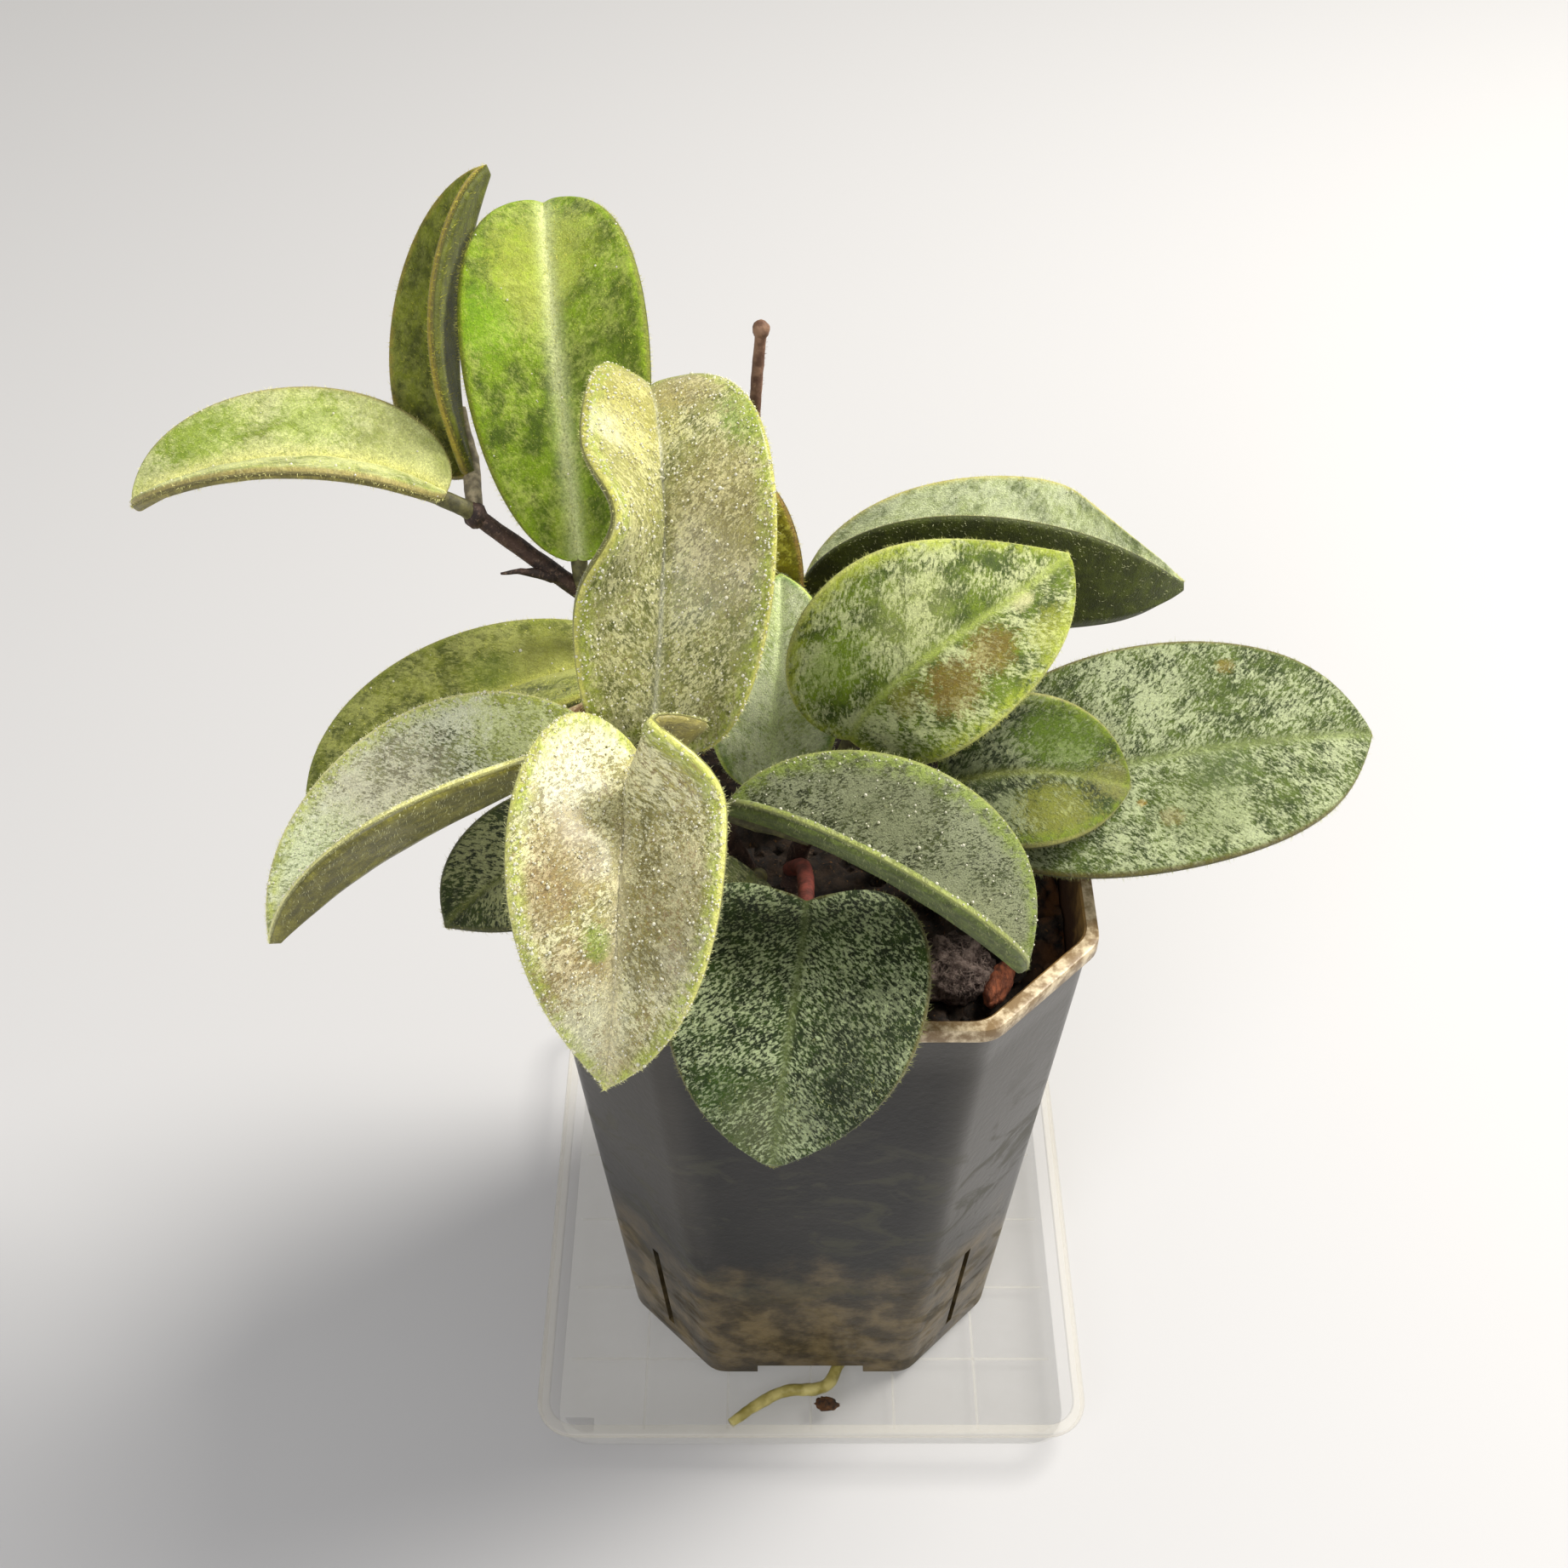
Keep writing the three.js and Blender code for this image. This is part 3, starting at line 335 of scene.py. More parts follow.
LOOKS = {
    "leaf_centre_tall": look(
        "leaf_bronze", (100, 105, 45), (170, 172, 98), (235, 232, 175), speck_color=(115, 105, 55),
        margin=(170, 185, 60), rim=(225, 220, 110), rib=(250, 250, 215), under=(155, 155, 75),
        hair=(235, 235, 160), cover=0.55, veil=0.7, soft=0.046, patchy=0.15, size=2.6, speck=0.9,
        margin_width=3.2, rib_width=0.6, dew=1100,
        patches=[(0.5, 0.55, 9, (175, 155, 100), 0.5), (0.85, -0.5, 10, (222, 212, 100), 0.6),
                 (0.62, -0.6, 8, (210, 205, 110), 0.5), (0.9, 0.45, 6, (185, 160, 105), 0.45),
                 (0.75, 0.85, 4, (125, 160, 40), 0.7)]),
    "leaf_front": look(
        "leaf_bronze", (130, 125, 70), (195, 187, 115), (255, 252, 205), speck_color=(125, 100, 60),
        margin=(185, 200, 75), rim=(235, 235, 130), rib=(240, 230, 185), under=(170, 160, 80),
        hair=(250, 250, 180), cover=0.6, veil=0.7, soft=0.046, patchy=0.15, size=2.6, speck=0.9,
        margin_width=3.0, rib_width=1.3, dew=950,
        patches=[(0.38, 0.5, 6, (160, 130, 85), 0.65), (0.7, 0.45, 6, (170, 135, 90), 0.6),
                 (0.5, 0.72, 4, (160, 130, 85), 0.6), (0.9, -0.3, 4, (150, 135, 65), 0.7),
                 # The first patch below is painted shade over the half of the blade that faces away from the
                 # light.
                 (0.5, -0.5, 10, (115, 102, 48), 0.65), (0.58, 0.22, 2.2, (140, 170, 50), 0.8),
                 (0.08, -0.75, 2.6, (235, 215, 100), 0.9), (0.13, -0.55, 1.2, (190, 125, 40), 0.8),
                 # The last patch is a painted highlight: a pale gloss near the tip.
                 (0.82, 0.4, 6, (255, 255, 215), 0.85)]),
    "leaf_left_front": look(
        "leaf_silver", (70, 80, 32), (138, 147, 82), (250, 253, 222), speck_color=(88, 98, 50),
        margin=(190, 200, 85), rim=(255, 250, 160), rib=(215, 218, 150), under=(155, 150, 60),
        hair=(245, 245, 185), cover=0.72, veil=0.75, size=2.8, speck=0.6,
        margin_width=3.0, rib_width=0.8, dew=650,
        patches=[(0.55, 0.5, 9, (205, 195, 165), 0.55), (0.15, 0.5, 8, (188, 202, 82), 0.65),
                 (0.8, 0.4, 8, (215, 232, 165), 0.5), (0.95, 0, 6, (155, 155, 100), 0.6)]),
    "leaf_right_front": look(
        "leaf_silver", (40, 48, 14), (80, 90, 42), (152, 158, 125), speck_color=(50, 60, 25),
        margin=(150, 170, 70), rim=(160, 167, 88), rib=(155, 160, 118), under=(118, 135, 62),
        hair=(168, 172, 120), cover=0.7, veil=0.85, soft=0.039, size=3.0, speck=0.9,
        margin_width=4.0, rib_width=0.8, dew=260,
        patches=[(0.85, 0.1, 8, (160, 165, 125), 0.6), (0.4, -0.6, 8, (98, 102, 62), 0.5)]),
    "leaf_left_back": look(
        "leaf_silver", (76, 86, 22), (128, 136, 48), (202, 205, 120), speck_color=(90, 102, 30),
        margin=(140, 150, 55), rim=(155, 152, 60), rib=(185, 188, 90), under=(120, 125, 40),
        hair=(230, 228, 110), cover=0.5, veil=0.5, soft=0.1, patchy=0.45, size=1.8, speck=0.25,
        margin_width=1.6, rib_width=0.8, dew=50,
        patches=[(0.35, 0.3, 4, (105, 125, 28), 0.6), (0.2, 0.2, 6, (198, 200, 100), 0.5)]),
    "leaf_dark_front": look(
        "leaf_dark", (26, 40, 8), (50, 73, 14), (194, 208, 158), speck_color=(38, 52, 15),
        margin=(80, 95, 35), rim=(115, 103, 42), rib=(112, 127, 70), under=(80, 90, 35),
        hair=(180, 185, 115), cover=0.4, veil=0.85, soft=0.03, patchy=0.08, size=2.5, speck=0.2,
        margin_width=0.9, rib_width=0.6,
        patches=[(0.75, 0.6, 4, (70, 105, 15), 0.5), (0.85, 0.2, 7, (168, 176, 120), 0.3),
                 (0.5, -0.6, 10, (26, 36, 8), 0.65), (0.75, -0.55, 7, (30, 42, 10), 0.5)]),
    "leaf_right_large": look(
        "leaf_silver", (48, 65, 14), (90, 109, 38), (196, 206, 160), speck_color=(70, 88, 34),
        margin=(118, 132, 64), rim=(120, 103, 50), rib=(137, 152, 86), under=(105, 110, 50),
        hair=(190, 197, 128), cover=0.56, veil=0.78, size=2.6, speck=0.35, rib_width=0.8,
        patches=[(0.12, 0, 9, (180, 183, 125), 0.5), (0.55, 0.5, 8, (92, 108, 36), 0.5),
                 (0.42, 0.38, 0.7, (190, 145, 45), 0.6), (0.68, -0.75, 1.4, (175, 140, 60), 0.5),
                 (0.48, 0.55, 1.8, (150, 122, 70), 0.45), (0.62, 0.2, 5, (100, 118, 68), 0.5)]),
    "leaf_right_small": look(
        "leaf_green", (24, 37, 5), (54, 72, 12), (155, 164, 122), speck_color=(40, 52, 15),
        margin=(122, 142, 30), rim=(180, 175, 105), rib=(135, 143, 65), under=(98, 102, 40),
        hair=(178, 178, 120), cover=0.44, veil=0.75, patchy=0.35, margin_width=2.6,
        patches=[(0.62, -0.45, 6, (100, 127, 15), 0.8), (0.6, 0.6, 6, (155, 158, 60), 0.7),
                 (0.9, 0, 4, (165, 166, 88), 0.6), (0.2, 0.1, 5, (58, 70, 26), 0.45)]),
    "leaf_right_middle": look(
        "leaf_green", (56, 74, 5), (98, 119, 12), (208, 215, 158), speck_color=(94, 104, 28),
        margin=(172, 185, 58), rim=(212, 215, 118), rib=(165, 180, 84), under=(125, 130, 50),
        hair=(212, 215, 132), cover=0.47, veil=0.7, soft=0.06, patchy=0.4, margin_width=2.8,
        patches=[(0.43, 0.42, 5, (122, 97, 28), 0.9), (0.6, 0.35, 4, (132, 107, 35), 0.8),
                 (0.27, 0.22, 3, (120, 108, 25), 0.6), (0.45, -0.35, 7, (185, 192, 120), 0.3),
                 (0.77, 0.1, 1.7, (225, 222, 165), 0.85), (0.2, -0.5, 5, (130, 160, 26), 0.6),
                 (0.8, 0.75, 4, (175, 180, 56), 0.6)]),
    "leaf_right_back": look(
        "leaf_silver", (102, 115, 68), (162, 175, 115), (244, 252, 212), speck_color=(122, 137, 80),
        margin=(192, 190, 105), rim=(203, 190, 105), rib=(185, 197, 135), under=(76, 86, 18),
        hair=(240, 244, 185), cover=0.6, veil=0.5, soft=0.13, patchy=0.5, size=0.8, speck=0.1,
        margin_width=1.4, rib_width=0.8, dew=20,
        patches=[(0.5, -0.4, 9, (236, 242, 205), 0.7), (0.1, -0.4, 10, (148, 168, 112), 0.4)]),
    "leaf_centre_silver": look(
        "leaf_silver", (145, 165, 88), (190, 205, 135), (236, 243, 205), speck_color=(152, 176, 110),
        margin=(105, 145, 36), rim=(222, 242, 105), rib=(235, 250, 185), under=(140, 155, 75),
        hair=(215, 220, 182), cover=0.66, veil=0.7, soft=0.1, patchy=0.4, size=1.8, speck=0.2,
        margin_width=2.2, patches=[(0.5, 0.8, 5, (144, 195, 48), 0.7)]),
    "leaf_behind_centre": look(
        "leaf_bronze", (140, 130, 20), (205, 196, 40), (240, 234, 90), speck_color=(120, 100, 35),
        margin=(150, 145, 45), rim=(120, 78, 35), rib=(190, 184, 80), under=(130, 118, 45),
        hair=(220, 212, 90), cover=0.4, soft=0.039, size=1.2, margin_width=1.4),
    "leaf_top_level": look(
        "leaf_green", (115, 128, 50), (168, 180, 88), (250, 252, 190), speck_color=(138, 155, 64),
        margin=(185, 185, 108), rim=(165, 145, 88), rib=(250, 248, 168), under=(170, 160, 88),
        hair=(250, 244, 160), cover=0.58, veil=0.5, soft=0.12, patchy=0.5, size=1.6, speck=0.12,
        rib_width=1.6, dew=20,
        patches=[(0.75, 0.6, 6, (145, 175, 44), 0.7), (0.45, 0.5, 5, (162, 190, 56), 0.5),
                 (0.12, 0.5, 8, (195, 200, 125), 0.7)]),
    "leaf_top_upright": look(
        "leaf_dark", (70, 78, 10), (116, 126, 24), (166, 172, 84), speck_color=(90, 100, 18),
        margin=(155, 138, 54), rim=(170, 150, 60), rib=(146, 150, 48), under=(105, 112, 20),
        hair=(205, 200, 70), cover=0.4, veil=0.45, soft=0.12, patchy=0.5, size=0.9, speck=0.15,
        margin_width=1.6, rib_width=1.0),
    "leaf_top_green": look(
        "leaf_green", (76, 98, 6), (126, 156, 18), (206, 216, 112), speck_color=(98, 127, 18),
        margin=(152, 182, 30), rim=(115, 115, 35), rib=(227, 233, 172), under=(110, 122, 30),
        hair=(225, 222, 102), cover=0.4, veil=0.5, soft=0.11, patchy=0.45, size=1.6, speck=0.1,
        margin_width=1.6, rib_width=1.3, dew=20,
        patches=[(0.75, -0.2, 8, (198, 208, 82), 0.6), (0.6, -0.75, 5, (140, 188, 10), 0.6),
                 (0.8, 0.3, 6, (163, 177, 58), 0.45), (0.08, 0, 4, (157, 180, 42), 0.6),
                 (0.5, 0.6, 9, (92, 112, 15), 0.4)]),
    "leaf_low_left": look(
        "leaf_dark", (22, 32, 4), (44, 57, 10), (140, 145, 100), speck_color=(34, 42, 10),
        margin=(68, 78, 22), rim=(72, 72, 22), rib=(100, 107, 50), under=(65, 72, 22),
        hair=(155, 152, 85), veil=0.85, soft=0.033, speck=0.2, margin_width=1.0, rib_width=0.6),
    "leaf_young_low": look(
        "leaf_dark", (42, 50, 18), (78, 88, 36), (140, 143, 98), speck_color=(48, 55, 20),
        margin=(90, 95, 40), rim=(100, 95, 42), rib=(102, 110, 55), under=(70, 77, 28),
        hair=(168, 164, 98), soft=0.039, size=1.6, speck=0.2, margin_width=1.0, rib_width=0.6),
}
STALK_COLORS = {
    "leaf_dark_front": (150, 74, 62), "leaf_top_upright": (196, 182, 150), "leaf_right_large": (110, 84, 60),
}
STALK_COLOR = (112, 108, 66)

CLUMP = {"center": (19, -22, 99.2), "size": (6, 5.5, 4), "turn": 0}
CHIP = {"center": (25.5, -24.5, 99.2), "size": (1.9, 4.3, 1.7), "turn": -25}
CRUMB = {"center": (2.6, -37, 3.1), "size": (1.9, 1.3, 0.9), "turn": 0}
ROOT_PATH = [(9.5, -10, 9), (9, -12, 3.9), (7.5, -20, 2.9), (5, -29, 2.9), (2.5, -33.6, 2.9),
             (-4.6, -34.7, 2.9), (-9.5, -37.4, 2.9), (-13.4, -40.4, 2.8)]
ROOT_RADIUS = [0.8, 0.9, 1, 1.05, 1.05, 1, 0.95, 0.8]


def new_piece(name, points, faces, material, smooth=True):
    """A mesh object from points in millimetres."""
    mesh = bpy.data.meshes.new(name)
    mesh.from_pydata((np.asarray(points, float) * MM).tolist(), [], faces)
    mesh.polygons.foreach_set("use_smooth", [smooth] * len(mesh.polygons))
    mesh.materials.append(material)
    piece = bpy.data.objects.new(name, mesh)
    bpy.context.scene.collection.objects.link(piece)
    return piece


def add_values(piece, name, values):
    """Keeps one number, or one triple, for each point of the mesh."""
    values = np.asarray(values, np.float32)
    if values.ndim == 1:
        attribute = piece.data.attributes.new(name, "FLOAT", "POINT")
        attribute.data.foreach_set("value", values)
    else:
        attribute = piece.data.attributes.new(name, "FLOAT_VECTOR", "POINT")
        attribute.data.foreach_set("vector", values.ravel())


def settle(piece, slot, *nodes):
    """The piece rides on the plant's one body and stands for its CAD nodes."""
    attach(piece, "root")
    if nodes:
        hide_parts(*nodes)


def curve_points(path, per_step):
    """Points along the smooth curve through the path, and how many of the path's points lie before each."""
    p = [np.array(q, float) for q in path]
    p = [2 * p[0] - p[1], *p, 2 * p[-1] - p[-2]]
    points, place = [], []
    for k in range(1, len(p) - 2):
        d0, d1, d2 = (max(np.linalg.norm(p[k + i] - p[k + i - 1]) ** 0.5, 1e-4) for i in range(3))
        a = ((p[k] - p[k - 1]) / d0 - (p[k + 1] - p[k - 1]) / (d0 + d1) + (p[k + 1] - p[k]) / d1) * d1
        b = ((p[k + 1] - p[k]) / d1 - (p[k + 2] - p[k]) / (d1 + d2) + (p[k + 2] - p[k + 1]) / d2) * d1
        last = k == len(p) - 3
        for i in range(per_step + (1 if last else 0)):
            t = i / per_step
            c2 = -3 * p[k] + 3 * p[k + 1] - 2 * a - b
            c3 = 2 * p[k] - 2 * p[k + 1] + a + b
            points.append(p[k] + a * t + c2 * t * t + c3 * t ** 3)
            place.append(k - 1 + t)
    return np.array(points), np.array(place)


def unit(vectors):
    """Each row at length 1."""
    return vectors / np.maximum(np.linalg.norm(vectors, axis=1, keepdims=True), 1e-9)


def tube(path, radius, sides, per_step, bump):
    """A closed round limb through the path. bump: how much its thickness varies."""
    points, place = curve_points(path, per_step)
    widths = np.interp(place, range(len(radius)), radius)
    tangents = unit(np.gradient(points, axis=0))
    out = np.cross(tangents[0], (0.3, 1, 0.2))
    verts, faces = [], []
    for k, (center, along) in enumerate(zip(points, tangents)):
        out = out - along * out.dot(along)
        out /= np.linalg.norm(out)
        side = np.cross(along, out)
        for j in range(sides):
            angle = 2 * math.pi * j / sides
            ray = out * math.cos(angle) + side * math.sin(angle)
            wave = noise.noise(Vector((center + ray * widths[k]) * BARK_GRAIN))
            verts.append(center + ray * widths[k] * (1 + bump * wave))
        if k:
            a, b = (k - 1) * sides, k * sides
            faces += [(a + j, a + (j + 1) % sides, b + (j + 1) % sides, b + j) for j in range(sides)]
    faces.append(tuple(reversed(range(sides))))
    faces.append(tuple(len(verts) - sides + j for j in range(sides)))
    return verts, faces


def join(parts):
    """Several (points, faces) as one."""
    verts, faces = [], []
    for points, polygons in parts:
        start = len(verts)
        verts.extend(points)
        faces.extend(tuple(i + start for i in polygon) for polygon in polygons)
    return verts, faces


def ball(steps):
    """A round ball of unit radius, as points and faces."""
    verts, faces = [(0, 0, 1)], []
    around = 2 * steps
    for i in range(1, steps):
        a = math.pi * i / steps
        for j in range(around):
            b = 2 * math.pi * j / around
            verts.append((math.sin(a) * math.cos(b), math.sin(a) * math.sin(b), math.cos(a)))
    verts.append((0, 0, -1))
    end = len(verts) - 1
    for j in range(around):
        k = (j + 1) % around
        faces.append((0, 1 + j, 1 + k))
        faces.append((end, end - around + k, end - around + j))
        for i in range(steps - 2):
            a, b = 1 + i * around, 1 + (i + 1) * around
            faces.append((a + j, b + j, b + k, a + k))
    return verts, faces


def lump(shape, steps, rough, scale):
    """A ball drawn to the shape's size, with a rough surface."""
    verts, faces = ball(steps)
    turn = Matrix.Rotation(math.radians(shape["turn"]), 3, "Z")
    size, center = Vector(shape["size"]), Vector(shape["center"])
    points = []
    for v in verts:
        p = Vector(v)
        wave = noise.fractal(p * scale + center, 0.7, 2.1, 4)
        points.append(tuple(center + turn @ (p * size * 0.96 * (1 + rough * wave))))
    return points, faces


def blade_shape(leaf, t, s=1.0):
    """Half the leaf's width along the midrib."""
    right, left = np.array(leaf["round"]), np.array(leaf.get("round_left", leaf["round"]))
    base, tip = np.where(s < 0, left[0], right[0]), np.where(s < 0, left[1], right[1])
    widest = base / (base + tip)
    most = widest ** base * (1 - widest) ** tip
    outline = np.clip(t, 0, 1) ** base * np.clip(1 - t, 0, 1) ** tip / most
    pinch = (1 - np.exp(-np.clip(1 - t, 0, 1) / TIP_REACH)) ** leaf.get("point", 0)
    return leaf["width"] / 2 * outline * pinch


def by_side(values, t, s):
    """From base to tip of the right half, or of the left one. values: right base and tip, left base and tip."""
    right_base, right_tip, left_base, left_tip = values
    right = right_base + (right_tip - right_base) * t
    return np.where(s < 0, left_base + (left_tip - left_base) * t, right)


def half_width(leaf, t, s):
    return blade_shape(leaf, t, s) * by_side(leaf.get("sides", (1, 1, 1, 1)), t, s)


def blade_points(leaf, t, s):
    """Points of the leaf's middle surface. t runs from base to tip, s from left margin to right."""
    p = [np.array(q, float) for q in leaf["rib"]]
    w = t[:, None]
    rib = (1 - w) ** 3 * p[0] + 3 * (1 - w) ** 2 * w * p[1] + 3 * (1 - w) * w ** 2 * p[2] + w ** 3 * p[3]
    along = 3 * (1 - w) ** 2 * (p[1] - p[0]) + 6 * (1 - w) * w * (p[2] - p[1]) + 3 * w ** 2 * (p[3] - p[2])
    along = unit(along)
    up = np.array(leaf["face"][0], float) * (1 - w) + np.array(leaf["face"][1], float) * w
    up -= along * (up * along).sum(1, keepdims=True)
    up = unit(up)
    right = np.cross(along, up)
    side = np.where(s < 0, -1.0, 1.0)
    u = np.abs(s)
    fold = by_side(leaf["fold"], t, s)
    if "crease" in leaf:
        half, degrees, place, reach = leaf["crease"]
        fold = fold + np.where(side == half, degrees * np.exp(-((t - place) / reach) ** 2), 0)
    curl = by_side(leaf.get("curl", (0, 0, 0, 0)), t, s)
    f = np.radians(fold)
    c = np.radians(np.where(np.abs(curl) < LEAST_CURL, LEAST_CURL, curl))
    half = half_width(leaf, t, s)
    across = half * (np.sin(f + c * u) - np.sin(f)) / c
    rise = half * (np.cos(f) - np.cos(f + c * u)) / c
    right_lobe, left_lobe = leaf.get("lobe", (0, 0))
    back = np.where(side > 0, right_lobe, left_lobe) * u * u * half * (1 - t) ** 3 / (leaf["width"] / 2)
    return rib + right * (side * across)[:, None] + up * rise[:, None] - along * back[:, None]


def blade_normals(leaf, t, s):
    d = NORMAL_STEP
    t0, t1 = np.maximum(t - d, NORMAL_ENDS[0]), np.minimum(t + d, NORMAL_ENDS[1])
    along = blade_points(leaf, t1, s) - blade_points(leaf, t0, s)
    over = blade_points(leaf, t, np.minimum(s + d, 1)) - blade_points(leaf, t, np.maximum(s - d, -1))
    return unit(np.cross(over, along))


def rib_length(leaf):
    t = np.linspace(0, 1, 60)
    line = blade_points(leaf, t, np.zeros_like(t))
    return np.linalg.norm(np.diff(line, axis=0), axis=1).sum()


def relief(seed, along, across, edge, upper):
    """How far the face stands off the smooth blade: groove or keel of the midrib, veins, soft lumps."""
    groove = np.exp(-(across / GROOVE_WIDTH) ** 2)
    inside = np.clip(edge / VEIN_FADE[0], 0, 1) * (1 - np.exp(-(across / VEIN_FADE[1]) ** 2))
    veins = np.cos(2 * np.pi * (along - VEIN_SLANT * np.abs(across)) / VEIN_PITCH) * inside
    lumps = []
    for a, b in zip(along, across):
        lumps.append(noise.noise(Vector((a / LUMP_WIDTH, b / LUMP_WIDTH, seed + upper * 7))))
    lumps = np.array(lumps) * np.clip(edge / LUMP_FADE, 0, 1)
    bead = np.exp(-((edge - BEAD[0]) / BEAD[1]) ** 2)
    heights = UPPER_RELIEF if upper else UNDER_RELIEF
    return heights[0] * groove + heights[1] * veins + heights[2] * lumps + heights[3] * bead


def blade_grid(leaf):
    """Places (t, s) of the grid, and how thick the blade is there."""
    t = (1 - np.cos(np.pi * np.arange(1, ROWS) / ROWS)) / 2
    rows_t, rows_s, rows_h = [], [], []
    for value in t:
        thick = min(BLADE_HALF, THIN_SHARE * float(blade_shape(leaf, value)))
        for_side = []
        for side in (1, -1):
            half = float(half_width(leaf, np.array([value]), np.array([side * 1.0]))[0])
            flat = 1 - min(thick / half, MOST_RIM)
            inner = flat * np.arange(INNER_COLUMNS + 1) / INNER_COLUMNS
            turn = np.arange(1, RIM_COLUMNS + 1) / RIM_COLUMNS * math.pi / 2
            s = np.concatenate([inner, flat + (1 - flat) * np.sin(turn)])
            h = np.concatenate([np.ones(INNER_COLUMNS + 1), np.cos(turn)]) * thick
            h[-1] = 0
            for_side.append((s, h))
        (right_s, right_h), (left_s, left_h) = for_side
        rows_s.append(np.concatenate([-left_s[:0:-1], right_s]))
        rows_h.append(np.concatenate([left_h[:0:-1], right_h]))
        rows_t.append(np.full(len(rows_s[-1]), value))
    return np.array(rows_t), np.array(rows_s), np.array(rows_h)


def leaf_mesh(leaf, seed):
    """The blade: an upper and a lower face that meet in a round margin."""
    t, s, h = blade_grid(leaf)
    rows, columns = t.shape
    t, s, h = t.ravel(), s.ravel(), h.ravel()
    middle, normal = blade_points(leaf, t, s), blade_normals(leaf, t, s)
    half = half_width(leaf, t, s)
    length = rib_length(leaf)
    across, along = s * half, t * length
    edge = np.minimum((1 - np.abs(s)) * half, np.minimum(along, length - along) + 0.3)
    share = h / BLADE_HALF
    top = middle + normal * (h + relief(seed, along, across, edge, 1) * share)[:, None]
    low = middle - normal * (h + relief(seed, along, across, edge, 0) * share)[:, None]
    ends = blade_points(leaf, np.array([0.0, 1.0]), np.zeros(2))
    count = rows * columns
    points = np.concatenate([top, low, ends])
    faces = []
    base, tip = 2 * count, 2 * count + 1
    for j in range(columns - 1):
        for i in range(rows - 1):
            a, b = i * columns + j, (i + 1) * columns + j
            faces.append((a, a + 1, b + 1, b))
            faces.append((count + a, count + b, count + b + 1, count + a + 1))
        end = (rows - 1) * columns + j
        faces += [(base, j + 1, j), (base, count + j, count + j + 1)]
        faces += [(tip, end, end + 1), (tip, count + end + 1, count + end)]
    place = np.stack([along, across, edge], 1)
    place = np.concatenate([place, place, [[0, 0, 0], [length, 0, 0]]])
    upper = np.concatenate([np.ones(count), np.zeros(count), [0.5, 0.5]])
    upper[:count][h == 0] = 0.5
    upper[count:2 * count][h == 0] = 0.5
    return points, faces, place, upper


def sample_blade(leaf, count, rng, edge_share):
    """Random places on the blade, some of them near its margin."""
    t = np.empty(0)
    most = leaf["width"] / 2
    while len(t) < count:
        tries = rng.uniform(0.01, 0.992, count)
        t = np.concatenate([t, tries[rng.uniform(0, most, count) < blade_shape(leaf, tries)]])
    t = t[:count]
    s = rng.uniform(-0.97, 0.97, count)
    near = rng.uniform(0, 1, count) < edge_share
    s = np.where(near, np.sign(s) * (1 - np.abs(rng.normal(0, 0.1, count)).clip(0.01, 0.5)), s)
    return t, s


def off_blade(leaf, t, s):
    """How far the round blade's face lies from its middle surface."""
    half = np.maximum(half_width(leaf, t, s), 1e-3)
    thick = np.minimum(BLADE_HALF, THIN_SHARE * blade_shape(leaf, t))
    rim = np.minimum(thick / half, MOST_RIM)
    into = np.clip((np.abs(s) - (1 - rim)) / rim, 0, 1)
    return thick * np.sqrt(np.maximum(1 - into ** 2, 0))


def hair_mesh(roots, ways, lengths, rng):
    """Thin bent triangles with a wide root and a pointed end."""
    count = len(roots)
    ways = unit(ways)
    wide = unit(np.cross(ways, rng.normal(0, 1, (count, 3))))
    bend = rng.normal(0, 0.25, (count, 3))
    half = HAIR_WIDTH / 2
    middle = roots + ways * lengths[:, None] * 0.5
    end = roots + (ways + bend) * lengths[:, None]
    points = np.stack([roots - wide * half, roots + wide * half, middle + wide * half * 0.7,
                       middle - wide * half * 0.7, end], 1).reshape(-1, 3)
    faces = []
    for k in range(count):
        a = 5 * k
        faces += [(a, a + 1, a + 2, a + 3), (a + 3, a + 2, a + 4)]
    return points, faces


def leaf_hairs(leaf, rng):
    """Down on both faces and a fringe round the margin."""
    area = leaf["width"] * rib_length(leaf) * BLADE_FILL
    count = int(area * HAIR_DENSITY * HAIR_FACES)
    t, s = sample_blade(leaf, count, rng, 0.25)
    normal = blade_normals(leaf, t, s)
    face = np.where(rng.uniform(0, 1, count) < UPPER_HAIRS, 1.0, -1.0)[:, None]
    forward = blade_points(leaf, np.minimum(t + 0.01, 1), s) - blade_points(leaf, t - 0.01, s)
    forward = unit(forward)
    roots = blade_points(leaf, t, s) + normal * face * (off_blade(leaf, t, s) - HAIR_SINK)[:, None]
    rise, lean, spread = HAIR_WAY
    ways = normal * face * rise + forward * lean + rng.normal(0, spread, (count, 3))
    lengths = rng.uniform(*HAIR_LENGTH, count)

    fringe = int(2 * rib_length(leaf) * MARGIN_HAIRS)
    ft = (1 - np.cos(rng.uniform(0.03, 0.985, fringe) * math.pi)) / 2
    fs = np.where(rng.uniform(0, 1, fringe) < 0.5, -1.0, 1.0)
    rim = blade_points(leaf, ft, fs)
    out = rim - blade_points(leaf, ft, fs * 0.9)
    out = unit(out)
    lift = blade_normals(leaf, ft, fs) * rng.normal(0, FRINGE_SPREAD[0], fringe)[:, None]
    fringe_ways = out + lift + rng.normal(0, FRINGE_SPREAD[1], (fringe, 3))
    roots = np.concatenate([roots, rim - out * 0.05])
    ways = np.concatenate([ways, fringe_ways])
    lengths = np.concatenate([lengths, rng.uniform(*FRINGE_LENGTH, fringe)])
    return hair_mesh(roots, ways, lengths, rng)


